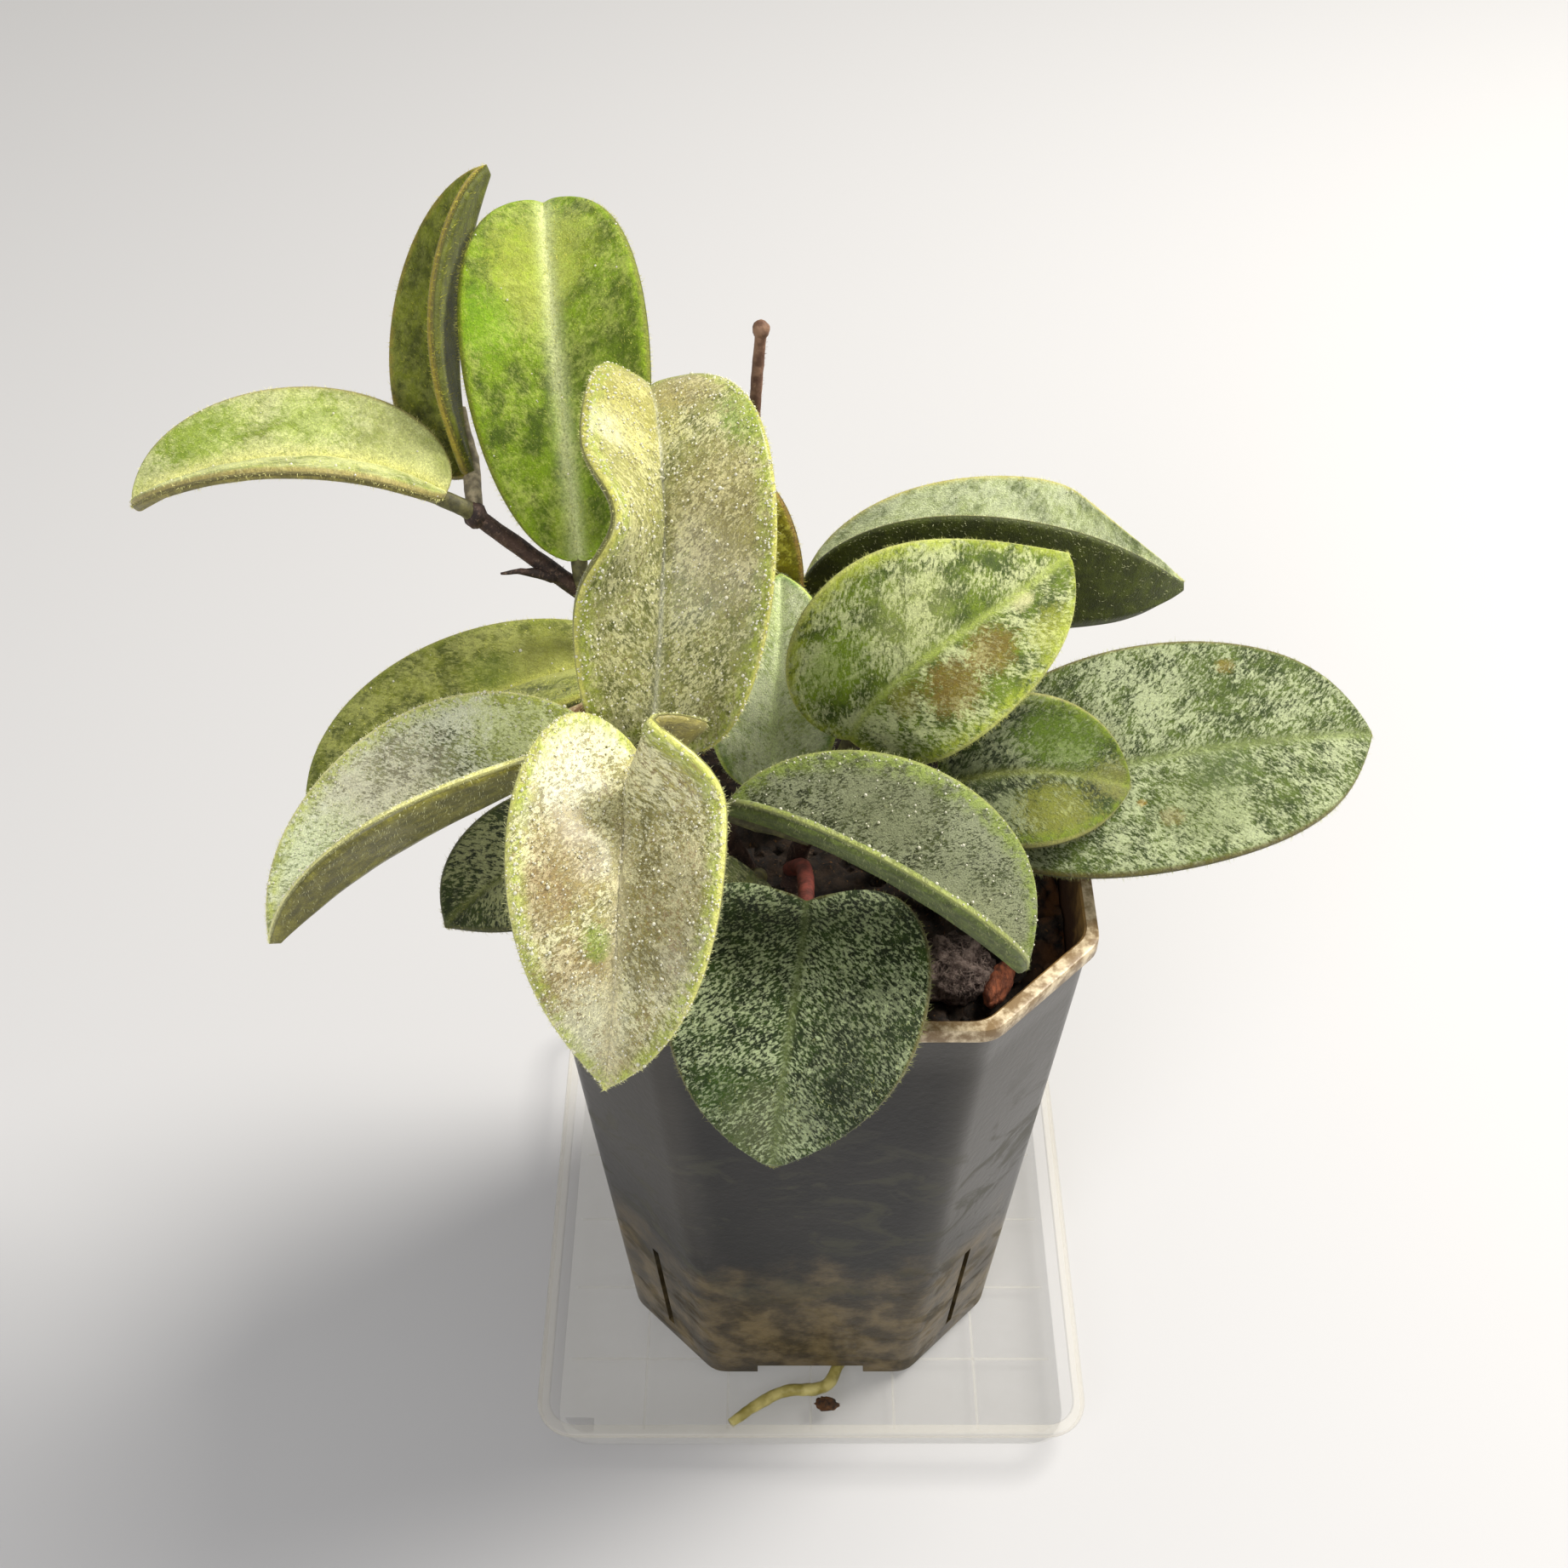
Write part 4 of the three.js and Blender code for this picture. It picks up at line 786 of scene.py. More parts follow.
def leaf_dew(leaf, count, rng):
    """Small droplets caught in the down of the upper face, more of them along the margin."""
    t, s = sample_blade(leaf, count, rng, 0.4)
    normal = blade_normals(leaf, t, s)
    radius = rng.uniform(*DEW_RADIUS, count) + (rng.uniform(0, 1, count) > LARGE_DEW[0]) * LARGE_DEW[1]
    center = blade_points(leaf, t, s) + normal * (off_blade(leaf, t, s) + radius * 0.55)[:, None]
    drop, polygons = ball(4)
    drop = np.array(drop)
    points = (center[:, None, :] + drop[None] * radius[:, None, None]).reshape(-1, 3)
    faces = [tuple(i + k * len(drop) for i in polygon) for k in range(count) for polygon in polygons]
    return points, faces


def stalk_mesh(leaf):
    """The stalk runs from the stem into the underside of the blade's rib."""
    base, start = np.array(leaf["rib"][0], float), np.array(leaf["stalk"], float)
    first = np.array(leaf["rib"][1], float) - base
    lead = -first / np.linalg.norm(first) * np.linalg.norm(start - base) * STALK_LEAD
    path = [start, (base + lead) * (1 - STALK_BEND) + start * STALK_BEND]
    reach, zero = np.array(STALK_REACH), np.zeros(len(STALK_REACH))
    path += list(blade_points(leaf, reach, zero) - blade_normals(leaf, reach, zero) * STALK_DROP)
    middle = (STALK_RADIUS + STALK_END_RADIUS) / 2
    radius = [STALK_RADIUS, STALK_RADIUS, STALK_RADIUS, middle, STALK_END_RADIUS]
    return tube(path, radius, 16, 6, bump=0.12)


def linear(color):
    """A colour given as 0 to 255 on screen, as light."""
    made = []
    for value in color:
        x = value / 255
        made.append(x / 12.92 if x <= 0.04045 else ((x + 0.055) / 1.055) ** 2.4)
    return (*made, 1.0)


def shade(color, factor):
    return tuple(c * factor for c in color)


class Nodes:
    """Short names for the nodes of one material. Colours are given as 0 to 255 on screen."""

    def __init__(self, name, roughness):
        self.material = bpy.data.materials.new(name)
        self.material.use_nodes = True
        self.tree = self.material.node_tree
        self.shader = self.tree.nodes["Principled BSDF"]
        self.set("Roughness", roughness)

    def set(self, name, value):
        """Puts a number, a colour or another node's output into the shader."""
        self.put(self.shader.inputs[name], value)

    def put(self, socket, value):
        if isinstance(value, bpy.types.NodeSocket):
            self.tree.links.new(value, socket)
        elif isinstance(value, tuple):
            socket.default_value = linear(value)
        else:
            socket.default_value = value

    def add(self, kind, inputs, **settings):
        """A new node with these settings, and with these inputs by name or number."""
        node = self.tree.nodes.new("ShaderNode" + kind)
        for key, value in settings.items():
            setattr(node, key, value)
        for key, value in inputs.items():
            self.put(node.inputs[key], value)
        return node

    def math(self, operation, *values):
        return self.add("Math", dict(enumerate(values)), operation=operation).outputs[0]

    def plus(self, a, b):
        return self.math("ADD", a, b)

    def minus(self, a, b):
        return self.math("SUBTRACT", a, b)

    def times(self, a, b):
        return self.math("MULTIPLY", a, b)

    def scaled(self, value, factor, start):
        """The value times the factor, counted from start."""
        return self.math("MULTIPLY_ADD", value, factor, start)

    def size(self, value):
        """The value without its sign."""
        return self.math("ABSOLUTE", value)

    def step(self, value, low, high, way="SMOOTHSTEP"):
        """0 below low, 1 above high; low may be the larger one."""
        inputs = {"Value": value, "From Min": low, "From Max": high}
        return self.add("MapRange", inputs, interpolation_type=way).outputs["Result"]

    def mix(self, factor, a, b):
        return self.add("Mix", {0: factor, 6: a, 7: b}, data_type="RGBA").outputs[2]

    def tint(self, factor, share, color, over):
        """Lays one colour over another by a share of the factor."""
        return self.mix(self.times(factor, share), color, over)

    def brighten(self, color, factor):
        return self.add("HueSaturation", {"Value": factor, "Color": color}).outputs[0]

    def vector(self, x, y, z):
        return self.add("CombineXYZ", {0: x, 1: y, 2: z}).outputs[0]

    def split(self, vector):
        return self.add("SeparateXYZ", {0: vector}).outputs[:]

    def attribute(self, name, output="Vector"):
        return self.add("Attribute", {}, attribute_name=name).outputs[output]

    def place(self):
        """Where a point is, in millimetres."""
        found = self.add("TexCoord", {}).outputs["Object"]
        return self.add("VectorMath", {0: found, "Scale": 1 / MM}, operation="SCALE").outputs[0]

    def noise(self, vector, scale, detail=2.0, rough=0.5, distort=0.0):
        inputs = {"Vector": vector, "Scale": scale, "Detail": detail, "Roughness": rough, "Distortion": distort}
        return self.add("TexNoise", inputs).outputs["Fac"]

    def mask(self, place, grain, edges):
        """A noise drawn apart into 0 and 1."""
        return self.step(self.noise(place, *grain), *edges)

    def mottle(self, place, grain, edges, dark, light):
        return self.mix(self.mask(place, grain, edges), dark, light)

    def bump(self, height, depth):
        """Raises the shading by depth millimetres where height is 1."""
        node = self.add("Bump", {"Height": height, "Distance": depth * MM, "Strength": 1.0})
        self.set("Normal", node.outputs[0])


def spot(m, along, across, center, reach, wobble):
    """1 at a place on the blade and 0 away from it, with a wandering edge."""
    a = m.math("DIVIDE", m.minus(along, center[0]), reach)
    b = m.math("DIVIDE", m.minus(across, center[1]), reach * SPOT_NARROW)
    far = m.plus(m.times(a, a), m.times(b, b))
    far = m.plus(far, m.times(m.minus(wobble, 0.5), SPOT_WANDER))
    return m.step(far, *SPOT_EDGE)


def silver_flecks(m, look, grain, flat, marble):
    """Where silver covers the green: fine flecks, or broad marbling where the leaf is patchy."""
    patchy, soft = look["patchy"], look["soft"]
    broad = m.noise(flat, 0.16, 3.0, 0.6)
    flecks = m.noise(grain, look["size"], 5.0, 0.72, 0.2)
    threshold = m.scaled(m.minus(broad, 0.5), -0.25 - 0.6 * patchy, 0.6 - 0.2 * look["cover"])
    both = m.scaled(flecks, 1 - patchy, m.times(marble, patchy))
    return m.step(m.minus(both, threshold), -soft, soft)


def leaf_patches(m, leaf, look, color, along, across, ragged):
    length = rib_length(leaf)
    for place, side, reach, over, strength in look["patches"]:
        half = float(half_width(leaf, np.array([place]), np.array([side]))[0])
        mask = spot(m, along, across, (place * length, side * half), reach, ragged)
        color = m.tint(mask, strength * 0.8, color, over)
    return color


def leaf_specks(m, look, color, middle, fine):
    low = 0.93 - 0.12 * look["speck"]
    dark = m.step(m.scaled(middle, 0.5, fine), low, low + 0.06)
    return m.tint(dark, look["speck"] * 0.75, color, look["speck_color"])


def leaf_lines(m, look, color, across, edge, flat, fine):
    """The pale midrib, the margin and the thin rim round it."""
    rib = m.math("DIVIDE", across, look["rib_width"])
    rib = m.math("POWER", NATURAL, m.times(m.times(rib, rib), -1.0))
    rib = m.times(rib, m.step(fine, 0.1, 0.55))
    color = m.tint(rib, 0.75, color, look["rib"])
    near = m.step(edge, look["margin_width"], look["margin_width"] * 0.3)
    near = m.times(near, m.mask(flat, (0.9, 3.0, 0.6), (0.32, 0.6)))
    color = m.tint(near, 0.75, color, look["margin"])
    rim = m.step(edge, *RIM_EDGE)
    return m.tint(rim, 0.7, color, look["rim"]), rim


def leaf_gloss(m, look):
    m.set("Sheen Weight", 0.12)
    m.set("Sheen Roughness", 0.4)
    m.set("Specular IOR Level", 0.32)
    if look["dew"] > MUCH_DEW:
        m.set("Coat Weight", 0.45)
        m.set("Coat Roughness", 0.25)


def leaf_material(name, leaf, look, seed):
    m = Nodes(name, 0.46)
    leaf_gloss(m, look)
    along, across, edge = m.split(m.attribute("place"))
    upper = m.attribute("upper", "Fac")
    offset = m.scaled(upper, FACES_APART, seed * LEAVES_APART)
    lean = m.scaled(m.size(across), -0.7, along)
    grain = m.vector(lean, m.times(across, 0.7), offset)
    flat = m.vector(along, across, offset)
    middle = m.noise(flat, 0.35, 3.0, 0.6)
    marble = m.noise(flat, 1.0, 5.0, 0.68, 0.8)
    fine = m.noise(flat, 2.6, 3.0, 0.7)
    dots = m.noise(flat, 5.5, 2.0, 0.6)

    cover = silver_flecks(m, look, grain, flat, marble)
    color = m.mix(m.step(middle, 0.35, 0.65), look["deep"], look["ground"])
    color = m.tint(cover, look["veil"], color, look["silver"])
    ragged = m.scaled(fine, 0.5, m.times(marble, 0.5))
    color = leaf_patches(m, leaf, look, color, along, across, ragged)
    color = leaf_specks(m, look, color, middle, fine)
    color, rim = leaf_lines(m, look, color, across, edge, flat, fine)
    under = m.mottle(flat, (0.5, 4.0, 0.6), (0.35, 0.7), shade(look["under"], 0.72), look["under"])
    color = m.mix(upper, under, color)
    m.set("Base Color", m.brighten(color, m.scaled(dots, 1.1, m.times(fine, 0.9))))
    m.set("Roughness", m.step(m.scaled(rim, -0.5, fine), -1.1, 1.3, "LINEAR"))
    m.bump(m.plus(m.noise(flat, 4.5, 3.0, 0.65), m.times(cover, 0.35)), 0.17)
    return m.material


def down_material(name, tint):
    m = Nodes(name, 0.7)
    m.set("Specular IOR Level", 0.3)
    pale = tuple(min(255, c + 14) for c in tint)
    m.set("Base Color", m.mix(m.noise(m.place(), 0.8, 2.0), tint, pale))
    return m.material


def dew_material():
    m = Nodes("dew", 0.08)
    m.set("Base Color", (255, 253, 232))
    m.set("Transmission Weight", 0.35)
    m.set("IOR", 1.33)
    return m.material


def grained_material(name, roughness, grain, edges, dark, light, relief, depth, stretch=None):
    """Two colours in a grain, with a relief. stretch: factors on the grain's place in x, y and z."""
    m = Nodes(name, roughness)
    place = m.place()
    if stretch:
        place = m.vector(*(m.times(value, factor) for value, factor in zip(m.split(place), stretch)))
    m.set("Base Color", m.mottle(place, grain, edges, dark, light))
    m.bump(m.noise(place, *relief), depth)
    return m.material


def stalk_material(name, tint):
    grain, relief = (0.8, 4.0, 0.6), (3.0, 4.0, 0.7)
    return grained_material(name, 0.55, grain, (0.35, 0.65), shade(tint, 0.66), tint, relief, 0.12)


def stem_material():
    m = Nodes("stem_bark", 0.62)
    place = m.place()
    color = m.mottle(place, (0.35, 3.0), (0.4, 0.65), (44, 30, 26), (80, 58, 48))
    m.set("Base Color", m.mottle(place, (1.8, 4.0, 0.7), (0.52, 0.68), color, (112, 90, 76)))
    m.bump(m.noise(place, 2.2, 5.0, 0.7), 0.2)
    return m.material


def runner_material():
    colors = (104, 72, 54), (158, 122, 96)
    return grained_material("runner_bark", 0.6, (0.5, 4.0), (0.4, 0.65), *colors, (2.2, 5.0, 0.7), 0.15)


def root_material():
    colors = (150, 138, 66), (196, 184, 112)
    return grained_material("root_skin", 0.4, (0.4, 3.0), (0.35, 0.65), *colors, (1.6, 4.0, 0.6), 0.15)


def fibre_material():
    grain, relief = (0.9, 4.0, 0.7), (2.5, 5.0, 0.75)
    colors = (74, 58, 52), (150, 132, 122)
    return grained_material("matted_fibre", 0.95, grain, (0.35, 0.65), *colors, relief, 0.5)


def bark_material():
    grain, relief = (0.9, 5.0, 0.7), (1.4, 5.0, 0.7)
    colors = (92, 46, 26), (160, 88, 54)
    return grained_material("bark_chip", 0.8, grain, (0.35, 0.65), *colors, relief, 0.4, (2.0, 0.6, 2.0))


def soil_material():
    m = Nodes("potting_soil", 0.9)
    place = m.place()
    x, y, _ = m.split(place)
    color = m.mottle(place, (0.5, 5.0, 0.7), (0.35, 0.65), (26, 20, 15), (66, 50, 36))
    color = m.mottle(place, (1.3, 3.0, 0.6), (0.62, 0.7), color, (120, 84, 44))
    wall = m.math("MAXIMUM", m.size(x), m.size(y))
    crust = m.times(m.step(wall, *SOIL_CRUST), m.mask(place, (0.25, 3.0), (0.42, 0.6)))
    m.set("Base Color", m.tint(crust, 0.7, color, (134, 84, 36)))
    m.bump(m.noise(place, 1.4, 6.0, 0.75), 0.7)
    return m.material


def pot_outside_material():
    """Smoky plastic: a dusty film above, the brown mix showing through low down, a painted highlight down the
    corner faces, a tan rim.
    """
    m = Nodes("smoky_plastic", 0.36)
    m.set("Specular IOR Level", 0.3)
    place = m.place()
    x, y, z = m.split(place)
    color = m.mottle(place, (0.06, 4.0, 0.6), (0.4, 0.65), (13, 12, 11), (24, 22, 20))
    smear = m.vector(m.times(x, 0.6), m.times(y, 0.6), z)
    dust = m.times(m.mask(smear, (0.13, 5.0, 0.66, 0.8), (0.5, 0.62)), m.step(z, *POT_DUST))
    color = m.tint(dust, 0.5, color, (88, 88, 74))
    low = m.step(m.scaled(m.noise(place, 0.11, 5.0, 0.66), 44.0, z), *POT_STAIN)
    brown = m.mottle(place, (0.16, 4.0, 0.65), (0.36, 0.66), (58, 48, 28), (118, 102, 70))
    color = m.tint(low, 0.85, color, brown)
    # Painted highlight: the corner faces are drawn lighter from low on the wall upward, where the light catches
    # them.
    corner = m.step(m.size(m.minus(m.size(x), m.size(y))), *POT_CORNER_HIGHLIGHT)
    corner = m.times(corner, m.step(z, *POT_CORNER_HIGHLIGHT_RISE))
    color = m.tint(corner, 0.3, color, (120, 116, 108))
    film = m.times(m.step(z, *POT_FILM), m.noise(smear, 0.2, 4.0, 0.6))
    color = m.tint(film, 0.45, color, (70, 66, 58))
    tan = m.mottle(place, (0.4, 4.0, 0.65), (0.4, 0.66), (138, 114, 80), (228, 210, 175))
    m.set("Base Color", m.mix(m.step(z, *POT_RIM_BAND), color, tan))
    m.set("Roughness", m.scaled(dust, 0.25, 0.3))
    m.bump(m.noise(place, 0.8, 4.0, 0.6), 0.06)
    return m.material


def pot_inside_material():
    """The wall above the soil: amber plastic with a brown crust."""
    m = Nodes("pot_inner_wall", 0.6)
    place = m.place()
    z = m.split(place)[2]
    color = m.mottle(place, (0.2, 4.0, 0.6), (0.4, 0.6), (112, 84, 44), (168, 132, 74))
    crust = m.step(m.scaled(m.noise(place, 0.35, 5.0, 0.7), -14.0, z), *WALL_CRUST)
    m.set("Base Color", m.mix(crust, color, (70, 44, 24)))
    m.bump(m.noise(place, 0.9, 5.0, 0.7), 0.5)
    return m.material


def clear_material(name, alpha):
    m = Nodes(name, 0.12)
    place = m.place()
    m.set("Base Color", m.mix(m.noise(place, 0.05, 2.0), (206, 198, 178), (236, 232, 220)))
    m.set("Specular IOR Level", 0.6)
    m.set("Alpha", alpha)
    m.bump(m.noise(place, 0.15, 2.0), 0.05)
    return m.material


def add_leaf(name, index):
    leaf, look = LEAVES[name], LOOKS[name]
    rng = np.random.default_rng(LEAF_SEED + index)
    points, faces, place, upper = leaf_mesh(leaf, index)
    blade = new_piece(name + "_blade", points, faces, leaf_material(name + "_skin", leaf, look, index))
    add_values(blade, "place", place)
    add_values(blade, "upper", upper)
    settle(blade, look["slot"], name)

    tint = STALK_COLORS.get(name, STALK_COLOR)
    stalk = new_piece(name + "_stalk", *stalk_mesh(leaf), stalk_material(name + "_stalk_skin", tint))
    settle(stalk, look["slot"])

    down = new_piece(name + "_down", *leaf_hairs(leaf, rng), down_material(name + "_hair", look["hair"]), False)
    settle(down, look["slot"])
    if look["dew"]:
        dew = new_piece(name + "_dew", *leaf_dew(leaf, look["dew"], rng), bpy.data.materials["dew"])
        settle(dew, look["slot"])


def stem_hairs(path, radius, rng):
    """Short down on a stem above the soil."""
    points, place = curve_points(path, 40)
    pick = rng.integers(1, len(points) - 1, STEM_HAIRS)
    along = points[pick + 1] - points[pick - 1]
    along = unit(along)
    out = np.cross(along, rng.normal(0, 1, (len(pick), 3)))
    out = unit(out)
    width = np.interp(place[pick], range(len(radius)), radius)
    roots = points[pick] + out * (width * 0.97)[:, None]
    return hair_mesh(roots, out + along * 0.4, rng.uniform(0.2, 0.5, len(pick)), rng)


def add_stem(name, index):
    stem = STEMS[name]
    rng = np.random.default_rng(STEM_SEED + index)
    foot = stem["path"][0]
    path = [(foot[0], foot[1], foot[2] - STEM_BURIED), *stem["path"]]
    radius = [stem["radius"][0], *stem["radius"]]
    parts = [tube(path, radius, 20, 16, bump=0.12)]
    for k in stem["nodes"]:
        r = stem["radius"][k] * NODE_SWELL
        shape = {"center": stem["path"][k], "size": (r, r, r * NODE_LENGTH), "turn": 0}
        parts.append(lump(shape, 10, 0.12, 1.7))
    if "spur" in stem:
        parts.append(tube(stem["spur"], SPUR_RADIUS, 10, 6, bump=0.3))
    bark = "runner_bark" if name == "runner" else "stem_bark"
    piece = new_piece(name + "_bark", *join(parts), bpy.data.materials[bark])
    settle(piece, "stem", name)
    down = new_piece(name + "_down", *stem_hairs(stem["path"], stem["radius"], rng),
                     bpy.data.materials["stem_hair"], False)
    settle(down, "stem")


def rounded(corners):
    """A ring with each corner of the outline cut round."""
    ring = []
    count = len(corners)
    for k, corner in enumerate(corners):
        p = np.array(corner, float)
        before, after = np.array(corners[k - 1], float), np.array(corners[(k + 1) % count], float)
        a = p + (before - p) / np.linalg.norm(before - p) * POT_CORNER_ROUND
        b = p + (after - p) / np.linalg.norm(after - p) * POT_CORNER_ROUND
        for i in range(CURVE_STEPS + 1):
            t = i / CURVE_STEPS
            ring.append((1 - t) ** 2 * a + 2 * t * (1 - t) * p + t * t * b)
    return ring


def octagon(width, cut, z):
    h = width / 2
    c = h - cut
    corners = [(-c, -h), (c, -h), (h, -c), (h, c), (c, h), (-c, h), (-h, c), (-h, -c)]
    return [(p[0], p[1], z) for p in rounded(corners)]


def square(width, corner, z, steps=8):
    """A square ring with round corners."""
    ring = []
    c = width / 2 - corner
    for x, y, start in ((c, -c, -90), (c, c, 0), (-c, c, 90), (-c, -c, 180)):
        for k in range(steps + 1):
            a = math.radians(start + 90 * k / steps)
            ring.append((x + corner * math.cos(a), y + corner * math.sin(a), z))
    return ring


def loft(rings):
    """A closed body through rings, in the order foot, outside, rim, inside, floor."""
    count = len(rings[0])
    verts = [p for ring in rings for p in ring]
    faces = []
    for r in range(len(rings) - 1):
        for k in range(count):
            a, b = r * count + k, r * count + (k + 1) % count
            faces.append((a, b, b + count, a + count))
    faces.append(tuple(reversed(range(count))))
    faces.append(tuple(len(verts) - count + k for k in range(count)))
    return verts, faces


def pot_width(z, inset):
    """Width and corner cut of the pot's wall at height z."""
    t = (z - DISH_FLOOR) / (POT_TOP - DISH_FLOOR)
    width = POT_FOOT_WIDTH + (POT_RIM_WIDTH - 2 * POT_BAND_REACH - POT_FOOT_WIDTH) * t - 2 * inset
    cut = POT_FOOT_CUT + (POT_RIM_CUT - POT_FOOT_CUT) * t - inset * (2 - math.sqrt(2))
    return width, cut


def cutter(size, center, turn):
    """A box that is taken out of the pot."""
    verts, faces = [], [(0, 2, 3, 1), (4, 5, 7, 6), (0, 1, 5, 4), (2, 6, 7, 3), (0, 4, 6, 2), (1, 3, 7, 5)]
    spin = Matrix.Rotation(math.radians(turn), 3, "Z")
    for x in (-0.5, 0.5):
        for y in (-0.5, 0.5):
            for z in (-0.5, 0.5):
                corner = spin @ Vector((x * size[0], y * size[1], z * size[2]))
                verts.append(tuple(Vector(center) + corner))
    return verts, faces


def drum(radius, height, center, sides=24):
    ring = [(center[0] + radius * math.cos(2 * math.pi * k / sides),
             center[1] + radius * math.sin(2 * math.pi * k / sides)) for k in range(sides)]
    return loft([[(x, y, center[2] - height / 2) for x, y in ring],
                 [(x, y, center[2] + height / 2) for x, y in ring]])


def subtract(piece, shape):
    """Takes a closed shape out of the piece."""
    tool = new_piece("tool", *shape, piece.data.materials[0], False)
    if tool_is_inside_out(tool):
        tool.data.flip_normals()
    change = piece.modifiers.new("cut", "BOOLEAN")
    change.operation = "DIFFERENCE"
    change.solver = "EXACT"
    change.object = tool
    bpy.context.view_layer.update()
    done = bpy.data.meshes.new_from_object(piece.evaluated_get(bpy.context.evaluated_depsgraph_get()))
    piece.modifiers.clear()
    piece.data = done
    bpy.data.objects.remove(tool)


def tool_is_inside_out(tool):
    center = sum((v.co for v in tool.data.vertices), Vector()) / len(tool.data.vertices)
    face = tool.data.polygons[0]
    return (face.center - center).dot(face.normal) < 0


def wall_ring(z, inset=0.0):
    return octagon(*pot_width(z, inset), z)


def rim_ring(z, inset=0.0):
    return octagon(POT_RIM_WIDTH - 2 * inset, POT_RIM_CUT - inset * RIM_CUT_SHARE, z)


def pot_rings():
    """The wall's rings up to the rim and down its inside, and the number of the first inner one."""
    low = POT_TOP - POT_BAND
    neck = low - POT_BAND_REACH
    rings = [wall_ring(DISH_FLOOR, POT_EDGE)]
    rings += [wall_ring(z) for z in (DISH_FLOOR + POT_FOOT_EDGE, 20, 40, 60, 80, 95, neck - POT_EDGE)]
    rings += [wall_ring(neck, -POT_BAND_EDGE), rim_ring(low, POT_BAND_EDGE), rim_ring(low + POT_EDGE)]
    rings += [rim_ring(POT_TOP - POT_RIM_EDGE[0]), rim_ring(POT_TOP - POT_RIM_EDGE[1], POT_RIM_EDGE[1])]
    rings += [rim_ring(POT_TOP, POT_RIM_EDGE[0])]
    inner = len(rings)
    rings += [wall_ring(POT_TOP, POT_WALL - POT_EDGE), wall_ring(POT_TOP - POT_EDGE, POT_WALL)]
    rings += [wall_ring(z, POT_WALL) for z in (100, 90, 60, 30, POT_FLOOR_UNDER + POT_FLOOR)]
    return rings, inner


def open_pot(pot):
    """The well under the floor, the foot notches, the corner slots and the drain holes."""
    well_foot = DISH_FLOOR - (POT_FLOOR_UNDER - DISH_FLOOR)
    subtract(pot, loft([wall_ring(z, POT_WALL + WELL_PAST) for z in (well_foot, POT_FLOOR_UNDER)]))
    for turn in (0, 90):
        size = (POT_NOTCH[0], POT_FOOT_WIDTH + NOTCH_PAST, 2 * POT_NOTCH[1])
        subtract(pot, cutter(size, (0, 0, DISH_FLOOR), turn))
    height, middle = POT_SLOT_TOP - POT_SLOT_BOTTOM, (POT_SLOT_TOP + POT_SLOT_BOTTOM) / 2
    out = (POT_FOOT_WIDTH - POT_FOOT_CUT) / 2 + POT_SLOT_OUT
    slot = (POT_SLOT_DEPTH, POT_SLOT_WIDTH, height)
    for x, y in ((1, 1), (-1, 1), (-1, -1), (1, -1)):
        subtract(pot, cutter(slot, (x * out, y * out, middle), x * y * 45))
        subtract(pot, drum(DRAIN_RADIUS, 3 * POT_FLOOR, (x * DRAIN_OUT, y * DRAIN_OUT, POT_FLOOR_UNDER)))


def add_pot():
    rings, inner = pot_rings()
    pot = new_piece("pot_shell", *loft(rings), pot_outside_material())
    pot.data.materials.append(pot_inside_material())
    for polygon in pot.data.polygons:
        if polygon.index >= inner * len(rings[0]):
            polygon.material_index = 1
    # The last two faces close the foot and the floor, and the foot is outside.
    pot.data.polygons[len(pot.data.polygons) - 2].material_index = 0
    open_pot(pot)
    pot.data.set_sharp_from_angle(angle=math.radians(SHARP_ANGLE["pot"]))
    settle(pot, "pot_plastic", "pot")


def soil_level(x, y):
    swell = math.sin(0.42 * x + 1.3) * math.cos(0.37 * y) + 0.6 * math.sin(0.83 * x - 0.7 * y + 2)
    return SOIL_TOP - SOIL_DOWN + 0.66 * swell


def inside_pot(x, y, z, inset):
    """How far a point is inside the pot's wall, in millimetres."""
    width, cut = pot_width(z, inset)
    h = width / 2
    return min(h - abs(x), h - abs(y), (2 * h - cut - abs(x) - abs(y)) / math.sqrt(2))


def add_soil():
    """A rough top of crumbs and grit over a plain body that fills the pot."""
    inset = POT_WALL + SOIL_GAP
    levels = (POT_FLOOR_UNDER + POT_FLOOR + SOIL_GAP, 40, 70, SOIL_TOP - 2)
    body = [wall_ring(z, inset) for z in levels]
    wide = POT_RIM_WIDTH - 4
    row = SOIL_CELLS + 1
    points, faces, keep = [], [], []
    for i in range(row):
        for j in range(row):
            x, y = (j / SOIL_CELLS - 0.5) * wide, (i / SOIL_CELLS - 0.5) * wide
            wave = noise.fractal(Vector((x, y, 3)) * 0.35, 0.8, 2.2, 5)
            points.append((x, y, soil_level(x, y) + SOIL_WAVE * wave))
            keep.append(inside_pot(x, y, SOIL_TOP, inset) > 0)
    for i in range(SOIL_CELLS):
        for j in range(SOIL_CELLS):
            a = i * row + j
            if keep[a] and keep[a + 1] and keep[a + row] and keep[a + row + 1]:
                faces.append((a, a + 1, a + row + 1, a + row))
    parts = [loft(body), (points, faces)]
    rng = random.Random(SOIL_SEED)
    while len(parts) < SOIL_CRUMBS:
        x, y = rng.uniform(-wide / 2, wide / 2), rng.uniform(-wide / 2, wide / 2)
        size = rng.choice(CRUMB_SIZES) * rng.uniform(0.8, 1.1)
        if inside_pot(x, y, SOIL_TOP, inset) < size:
            continue
        shape = {"center": (x, y, soil_level(x, y) + size * 0.3),
                 "size": (size, size * rng.uniform(0.5, 0.9), size * rng.uniform(0.45, 0.8)),
                 "turn": rng.uniform(0, 180)}
        parts.append(lump(shape, 5, 0.35, 1.4))
    soil = new_piece("soil_mix", *join(parts), bpy.data.materials["potting_soil"])
    settle(soil, "soil", "soil")


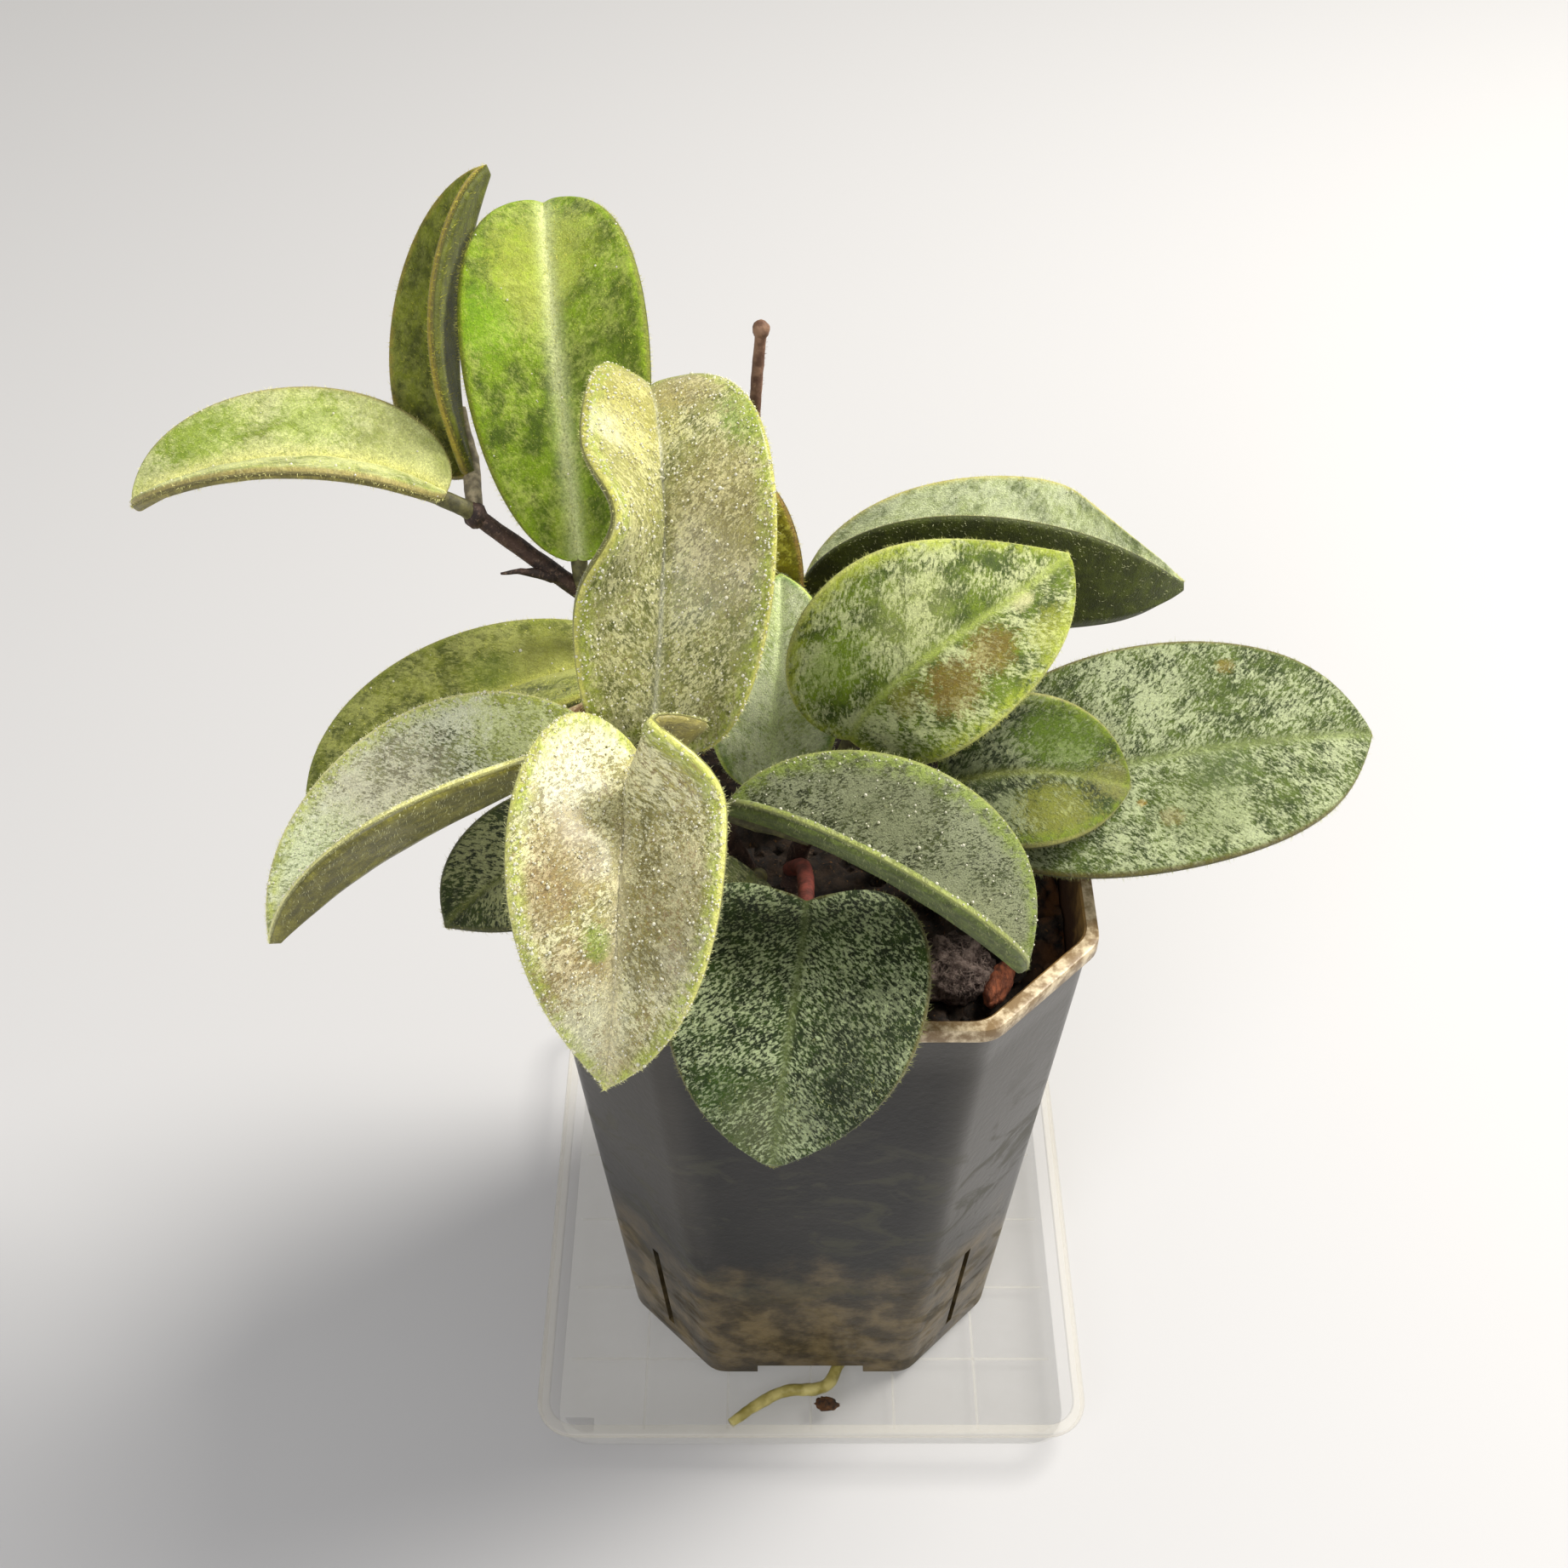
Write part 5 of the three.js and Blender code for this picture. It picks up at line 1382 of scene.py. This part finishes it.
def strands(shape, count, length, width, seed):
    """Loose fibres that lie round a lump."""
    rng = np.random.default_rng(seed)
    way = unit(rng.normal(0, 1, (count, 3)))
    way[:, 2] = np.abs(way[:, 2])
    size, center = np.array(shape["size"], float), np.array(shape["center"], float)
    points, faces = [], []
    for k in range(count):
        side = np.cross(way[k], rng.normal(0, 1, 3))
        side /= np.linalg.norm(side)
        flat = np.cross(way[k], side)
        for i in range(FIBRE_STEPS + 1):
            a = (i / FIBRE_STEPS - 0.5) * length * rng.uniform(0.9, 1.1)
            lift = 1.0 + 0.1 * math.sin(i * 1.3 + k)
            ray = way[k] * lift + side * a + flat * 0.12 * math.sin(i + k)
            ray = ray / np.linalg.norm(ray) * lift
            p = center + ray * size * 0.93
            points += [p - flat * width / 2, p + flat * width / 2]
            if i:
                b = len(points) - 4
                faces.append((b, b + 1, b + 3, b + 2))
    return points, faces


def add_soil_things():
    """The fibre clump and the bark chip on the soil."""
    parts = [lump(CLUMP, 26, 0.3, 2.2), strands(CLUMP, CLUMP_FIBRES, *FIBRE_SIZE, FIBRE_SEED)]
    clump = new_piece("fibre_tuft", *join(parts), fibre_material())
    settle(clump, "fibre", "fibre_clump")
    chip = new_piece("bark_piece", *lump(CHIP, 22, 0.22, 1.6), bark_material())
    settle(chip, "bark", "bark_chip")


def add_dish():
    """Clear dish with a round lip, and a raised grid on its floor."""
    rim = DISH_RIM_WIDTH - 2 * DISH_LIP_REACH
    low = DISH_HEIGHT - DISH_LIP
    corner = DISH_CORNER + DISH_LIP_REACH
    inner = DISH_CORNER - DISH_WALL
    inside = rim - 2 * DISH_WALL
    floor_width = DISH_BASE_WIDTH - DISH_FLOOR_IN
    rings = [
        square(DISH_BASE_WIDTH - 2 * DISH_EDGE, DISH_CORNER, 0),
        square(DISH_BASE_WIDTH, DISH_CORNER, DISH_EDGE),
        square(rim, DISH_CORNER, low),
        square(DISH_RIM_WIDTH - LIP_UNDER[0], corner, low + LIP_UNDER[1]),
        square(DISH_RIM_WIDTH, corner, low + LIP_EDGE),
        square(DISH_RIM_WIDTH, corner, DISH_HEIGHT - DISH_EDGE),
        square(DISH_RIM_WIDTH - LIP_EDGE, corner, DISH_HEIGHT),
        square(inside + LIP_EDGE, inner, DISH_HEIGHT),
        square(inside, inner, DISH_HEIGHT - DISH_EDGE),
        square(floor_width + 2 * DISH_EDGE, inner, DISH_FLOOR + LIP_EDGE),
        square(floor_width - DISH_EDGE, inner, DISH_FLOOR),
    ]
    dish = new_piece("dish_tray", *loft(rings), clear_material("clear_plastic", 0.07))
    dish.data.materials.append(clear_material("clear_lip", 0.3))
    sides = len(rings[0])
    for polygon in dish.data.polygons:
        if LIP_RINGS[0] * sides <= polygon.index < LIP_RINGS[1] * sides:
            polygon.material_index = 1
    dish.data.set_sharp_from_angle(angle=math.radians(SHARP_ANGLE["dish"]))
    settle(dish, "clear_plastic", "dish")
    long = GRID_CELLS * GRID_PITCH - GRID_SHORT
    width, height = GRID_RIB
    bars = []
    for k in range(1, GRID_CELLS):
        at = (k - GRID_CELLS / 2) * GRID_PITCH
        bars.append(cutter((width, long, height), (at, 0, DISH_FLOOR + height / 2), 0))
        bars.append(cutter((long, width, height), (0, at, DISH_FLOOR + height / 2), 0))
    grid = new_piece("dish_grid", *join(bars), clear_material("clear_grid", 0.12), False)
    settle(grid, "clear_plastic")


def add_root():
    piece = new_piece("root_strand", *tube(ROOT_PATH, ROOT_RADIUS, 18, 14, bump=0.15), root_material())
    settle(piece, "root", "root")
    crumb = new_piece("dish_crumb", *lump(CRUMB, 14, 0.35, 2.0), bpy.data.materials["potting_soil"])
    settle(crumb, "soil", "soil_crumb")


def add_camera():
    data = bpy.data.cameras.new("camera")
    data.lens, data.sensor_width = CAMERA_LENS, SENSOR
    data.clip_start = 0.01
    camera = bpy.data.objects.new("camera", data)
    camera.location = Vector(CAMERA_PLACE) * MM
    camera.rotation_euler = (math.radians(CAMERA_TILT), 0, 0)
    bpy.context.scene.collection.objects.link(camera)
    bpy.context.scene.camera = camera


def add_light(name, place, target, size, power, tint):
    data = bpy.data.lights.new(name, "AREA")
    data.shape = "DISK"
    data.size = size
    data.energy = power
    data.color = linear(tint)[:3]
    light = bpy.data.objects.new(name, data)
    light.location = place
    light.rotation_euler = (Vector(target) - Vector(place)).to_track_quat("-Z", "Y").to_euler()
    bpy.context.scene.collection.objects.link(light)


def add_studio():
    m = Nodes("pale_floor", 0.8)
    m.set("Base Color", (202, 202, 204))
    bpy.ops.mesh.primitive_plane_add(size=STUDIO_SIZE)
    floor = bpy.context.object
    floor.name = "studio_floor"
    floor.data.materials.append(m.material)
    world = bpy.data.worlds.new("soft_studio")
    world.use_nodes = True
    world.node_tree.nodes["Background"].inputs[0].default_value = linear((240, 238, 233))
    world.node_tree.nodes["Background"].inputs[1].default_value = SKY_STRENGTH
    bpy.context.scene.world = world
    bpy.context.scene.view_settings.view_transform = "Standard"
    add_light("key", (0.55, 0.25, 0.75), (0, 0, 0.12), 0.45, 11.5, (255, 251, 243))
    add_light("front", (-0.35, -0.7, 0.6), (0, 0, 0.1), 0.5, 3.0, (250, 250, 255))


def corners(found):
    return [list(found[0]), list(found[1])]


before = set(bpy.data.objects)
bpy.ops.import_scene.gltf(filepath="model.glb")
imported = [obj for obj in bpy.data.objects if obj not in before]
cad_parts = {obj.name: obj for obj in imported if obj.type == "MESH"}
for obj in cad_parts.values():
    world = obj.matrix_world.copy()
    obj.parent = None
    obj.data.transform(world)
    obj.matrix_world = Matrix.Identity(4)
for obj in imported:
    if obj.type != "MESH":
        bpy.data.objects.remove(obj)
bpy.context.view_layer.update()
add_camera()
add_studio()
stem_material()
runner_material()
soil_material()
dew_material()
down_material("stem_hair", (150, 126, 108))
add_dish()
add_root()
add_pot()
add_soil()
add_soil_things()
for number, stem_name in enumerate(STEMS):
    add_stem(stem_name, number)
for number, leaf_name in enumerate(LEAVES):
    add_leaf(leaf_name, number)
